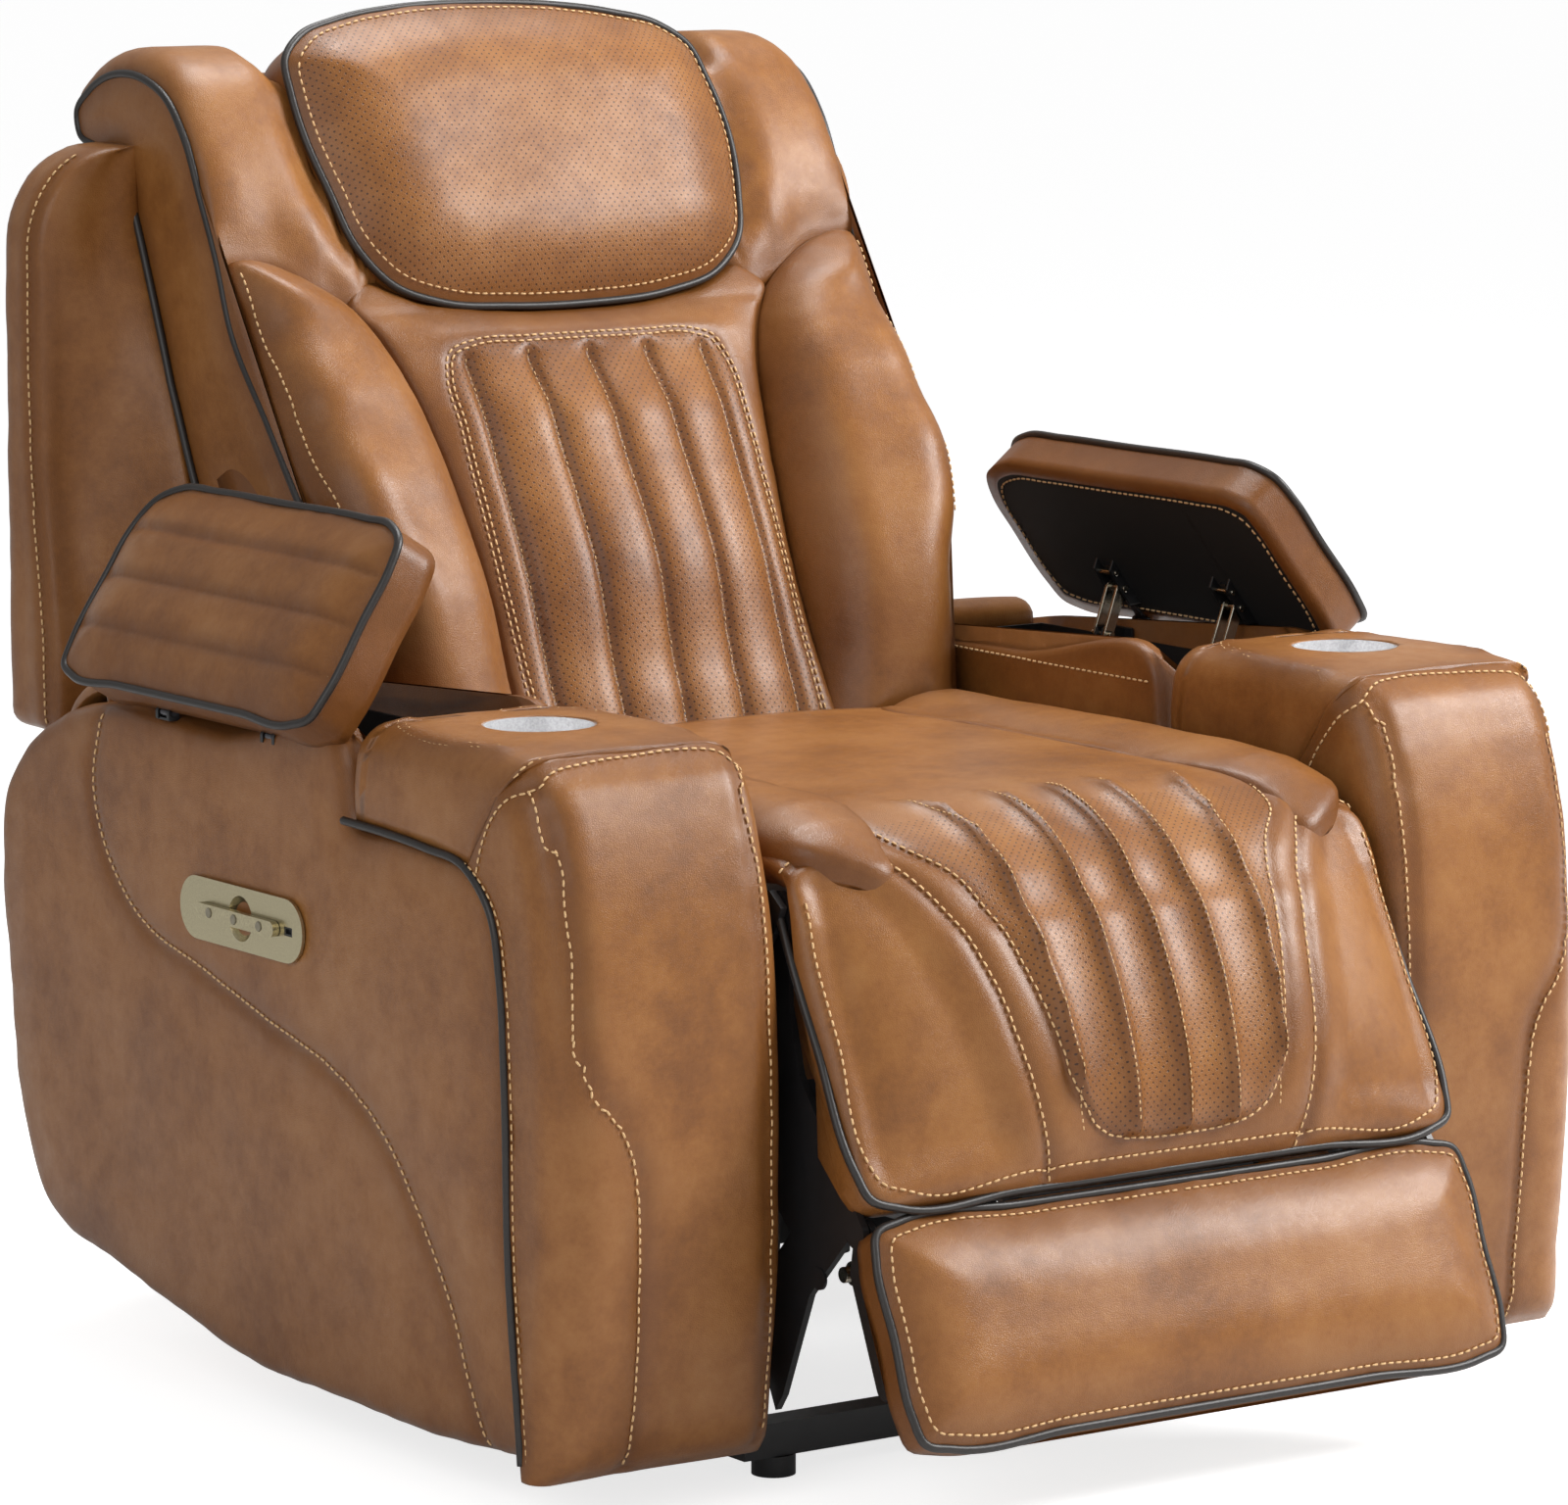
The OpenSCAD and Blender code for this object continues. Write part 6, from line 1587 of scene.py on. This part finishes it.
BRUSHED = {"swing": 0.05, "depth": 0.00002}
WORN_FINISHES = (
    ("black_steel", (0.012, 0.012, 0.013), 0.38, {"scale": 90.0}),
    ("hinge_steel", (0.09, 0.09, 0.10), 0.3, {"metal": 0.9, "scale": 120.0}),
    ("spring_steel", (0.42, 0.42, 0.44), 0.3, {"metal": 1.0}),
    ("plywood", (0.5, 0.33, 0.18), 0.6, {"scale": 14.0, "stretch": (1, 1, 9)}),
    ("black_plastic", (0.014, 0.014, 0.015), 0.45, {"scale": 240.0}),
    ("motor_plastic", (0.02, 0.02, 0.022), 0.5, {"scale": 180.0}),
    ("cup_steel", (0.90, 0.90, 0.91), 0.2, {"metal": 0.6, "scale": 500.0, **BRUSHED}),
    ("bin_plastic", (0.012, 0.011, 0.011), 0.55, {"scale": 200.0}),
    ("lining_fabric", (0.008, 0.008, 0.008), 0.8, {"scale": 1400.0, "depth": 0.0006}),
    ("champagne_metal", (0.50, 0.44, 0.28), 0.26, {"metal": 0.9, "scale": 700.0, **BRUSHED}),
    ("button_plastic", (0.25, 0.22, 0.15), 0.4, {"scale": 200.0}),
    ("nickel", (0.6, 0.56, 0.46), 0.22, {"metal": 1.0}),
)
NODE_FINISHES = {
    "black_steel": ["base_side_rails", "base_cross_tubes", "mechanism_plate_left", "mechanism_plate_right",
                    "seat_side_rails", "seat_cross_rails", "motor_channel", "swing_arms", "footrest_brackets",
                    "torque_tube", "drive_links", "back_brackets", "lid_hinge_bases"],
    "hinge_steel": ["lid_hinge_arms_left", "lid_hinge_arms_right"],
    "spring_steel": ["seat_springs"],
    "plywood": ["arm_boards", "leg_board", "footrest_board", "back_board", "headrest_board"],
    "black_plastic": ["base_feet", "power_inlet", "usb_port", "actuator_block"],
    "motor_plastic": ["recline_motor", "headrest_motor"],
    "cup_steel": ["cup_holder_left", "cup_holder_right"],
    "bin_plastic": ["storage_bin_left", "storage_bin_right"],
    "lining_fabric": ["lid_board_left", "lid_board_right"],
    "plain_leather": ["seat_apron"],
    "champagne_metal": ["switch_plate", "switch_bar"],
    "button_plastic": ["button_recline", "button_home", "button_extend"],
}


class RECLINER_OT_finishes(bpy.types.Operator):
    """Makes every finish and gives the steel, timber and plastic pieces theirs"""
    bl_idname = "recliner.finishes"
    bl_label = "Finishes"

    def execute(self, context):
        hide_group()
        perforation_group()
        wear_group()
        look = context.scene.recliner_colours
        tones = (tuple(look.leather_shade), tuple(look.leather_body), tuple(look.leather_bloom))
        hide_material("leather", tones)
        hide_material("perforated_leather", tones, punched=True)
        hide_material("plain_leather", tones)
        worn_material("thread", tuple(look.thread), 0.75, scale=900.0)
        worn_material("piping", tuple(look.piping), 0.42, scale=300.0, depth=0.0003)
        for name, tone, rough, rest in WORN_FINISHES:
            worn_material(name, tone, rough, **rest)
        for finish, names in NODE_FINISHES.items():
            for name in names:
                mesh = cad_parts[name].data
                if not mesh.materials:
                    mesh.materials.append(None)
                for slot in range(len(mesh.materials)):
                    mesh.materials[slot] = FINISHES[finish]
        return {"FINISHED"}


# Stage
GLOSSY_FLOOR, GLOSSY_SKY = 0.15, 0.18
FLOOR_REACH = 30
AIM = (0, 0, 0.55)
CAMERA_PLACE, CAMERA_TILT, CAMERA_TURN, CAMERA_LENS = (-3.4551, -4.9685, 1.4195), 8.45, -34.83, 164.25


def seen_directly(tree, glossy):
    """1 for rays from the camera and through glass, a smaller share for reflections, else 0."""
    path = add(tree, "ShaderNodeLightPath")
    seen = maths(tree, "MAXIMUM", path.outputs["Is Camera Ray"], path.outputs["Is Transmission Ray"])
    return maths(tree, "MAXIMUM", seen, times(tree, path.outputs["Is Glossy Ray"], glossy))


class RECLINER_OT_stage(bpy.types.Operator):
    """Sets up the pale floor, the soft lamps and the camera"""
    bl_idname = "recliner.stage"
    bl_label = "Stage"

    def execute(self, context):
        scene = context.scene
        level = scene.recliner_stage
        scene.view_settings.view_transform = "Standard"
        floor_mesh = bpy.data.meshes.new("floor")
        r = FLOOR_REACH
        floor_mesh.from_pydata([(-r, -r, 0), (r, -r, 0), (r, r, 0), (-r, r, 0)], [], [(0, 1, 2, 3)])
        floor = linked("floor", floor_mesh, scene.collection)
        finish, tree, shader = material("floor_paint")
        shader.inputs["Base Color"].default_value = (0.8, 0.8, 0.8, 1)
        shader.inputs["Roughness"].default_value = 0.9
        glow = add(tree, "ShaderNodeEmission", sockets={
            "Strength": times(tree, seen_directly(tree, GLOSSY_FLOOR), level.floor_glow)})
        both = add(tree, "ShaderNodeAddShader")
        tree.links.new(shader.outputs[0], both.inputs[0])
        tree.links.new(glow.outputs[0], both.inputs[1])
        tree.links.new(both.outputs[0], tree.nodes["Material Output"].inputs["Surface"])
        floor_mesh.materials.append(finish)

        world = bpy.data.worlds.new("studio")
        world.use_nodes = True
        scene.world = world
        tree = world.node_tree
        seen = seen_directly(tree, GLOSSY_SKY)
        strength = maths(tree, "ADD", level.sky, times(tree, seen, 1.0 - level.sky))
        back = tree.nodes["Background"]
        back.inputs["Color"].default_value = (1, 1, 1, 1)
        tree.links.new(strength, back.inputs["Strength"])

        lamps = (("key", (3.0, -2.2, 3.0), 2.3, level.key), ("fill", (-3.6, -1.8, 2.6), 3.0, level.fill),
                 ("front", (-0.5, -4.6, 1.6), 2.4, level.front), ("top", (0.6, 0.8, 3.6), 1.6, level.top))
        for name, place, size, power in lamps:
            lamp = bpy.data.lights.new(name, "AREA")
            lamp.shape, lamp.size, lamp.energy = "DISK", size, power
            holder = linked(name, lamp, scene.collection)
            holder.location = place
            holder.rotation_euler = (Vector(AIM) - Vector(place)).to_track_quat("-Z", "Y").to_euler()

        lens = bpy.data.cameras.new("camera")
        lens.lens, lens.sensor_width, lens.clip_end = CAMERA_LENS, 36, 100
        camera = linked("camera", lens, scene.collection)
        camera.location = CAMERA_PLACE
        camera.rotation_euler = (math.radians(90 - CAMERA_TILT), 0, math.radians(CAMERA_TURN))
        scene.camera = camera
        return {"FINISHED"}


def colour_setting(name, description, default):
    """A colour the user can change."""
    return FloatVectorProperty(name=name, description=description, default=default, subtype="COLOR")


def length_setting(name, description, default):
    """A length the user can change."""
    return FloatProperty(name=name, description=description, default=default, unit="LENGTH")


def power_setting(name, description, default):
    """A lamp's power the user can change."""
    return FloatProperty(name=name, description=description, default=default, unit="POWER")


class ReclinerColours(bpy.types.PropertyGroup):
    """Colours of the upholstery."""
    leather_shade: colour_setting("Leather shade", "Leather in its clouds and seams", (0.10, 0.028, 0.005))
    leather_body: colour_setting("Leather body", "Main colour of the leather", (0.285, 0.109, 0.024))
    leather_bloom: colour_setting("Leather bloom", "Leather where its wax has lifted", (0.40, 0.184, 0.058))
    thread: colour_setting("Thread", "Sewing thread", (0.76, 0.49, 0.24))
    piping: colour_setting("Piping", "Piped edges", (0.022, 0.018, 0.016))


class ReclinerSizes(bpy.types.PropertyGroup):
    """Sizes of the trim."""
    stitch_pitch: length_setting("Stitch pitch", "From one stitch to the next", 0.008)
    stitch_length: length_setting("Stitch length", "Length of a stitch", 0.0062)
    thread_radius: length_setting("Thread radius", "Half the thickness of the thread", 0.001)
    piping_radius: length_setting("Piping radius", "Half the thickness of the piping", 0.0036)
    hole_pitch: length_setting("Hole pitch", "From one punched hole to the next in its row", 0.0076)
    hole_radius: length_setting("Hole radius", "Half the width of a punched hole", 0.0009)


class ReclinerStage(bpy.types.PropertyGroup):
    """Light of the stage."""
    key: power_setting("Key lamp", "Power of the lamp at the front right", 235.0)
    fill: power_setting("Fill lamp", "Power of the lamp at the left", 48.0)
    front: power_setting("Front lamp", "Power of the low front lamp", 12.0)
    top: power_setting("Top lamp", "Power of the overhead lamp", 70.0)
    sky: FloatProperty(name="Sky", description="Strength of the light from all round", default=0.26)
    floor_glow: FloatProperty(name="Floor white", description="How white the floor is", default=0.76)


class RECLINER_PT_panel(bpy.types.Panel):
    """Lists the steps that build the recliner"""
    bl_label = "Recliner"
    bl_idname = "RECLINER_PT_panel"
    bl_space_type = "VIEW_3D"
    bl_region_type = "UI"
    bl_category = "Recliner"

    def draw(self, context):
        for step in STEPS:
            self.layout.operator(step.bl_idname)
        scene = context.scene
        for group in (scene.recliner_sizes, scene.recliner_colours, scene.recliner_stage):
            for key in group.bl_rna.properties.keys():
                if key not in {"rna_type", "name"}:
                    self.layout.prop(group, key)


STEPS = (RECLINER_OT_finishes, RECLINER_OT_arms, RECLINER_OT_lids, RECLINER_OT_seat, RECLINER_OT_back,
         RECLINER_OT_headrest, RECLINER_OT_hinges, RECLINER_OT_stage)
CLASSES = (ReclinerSizes, ReclinerColours, ReclinerStage, *STEPS, RECLINER_PT_panel)


def register():
    """Makes the add-on's classes and settings known to Blender."""
    for item in CLASSES:
        bpy.utils.register_class(item)
    bpy.types.Scene.recliner_sizes = PointerProperty(type=ReclinerSizes)
    bpy.types.Scene.recliner_colours = PointerProperty(type=ReclinerColours)
    bpy.types.Scene.recliner_stage = PointerProperty(type=ReclinerStage)


def unregister():
    """Takes the add-on's classes and settings away again."""
    del bpy.types.Scene.recliner_stage
    del bpy.types.Scene.recliner_colours
    del bpy.types.Scene.recliner_sizes
    for item in reversed(CLASSES):
        bpy.utils.unregister_class(item)


def main():
    """Builds the recliner's visual model step by step."""
    register()
    bpy.ops.recliner.finishes()
    bpy.ops.recliner.arms()
    bpy.ops.recliner.lids()
    bpy.ops.recliner.seat()
    bpy.ops.recliner.back()
    bpy.ops.recliner.headrest()
    bpy.ops.recliner.hinges()
    bpy.ops.recliner.stage()


if __name__ == "__main__":
    main()
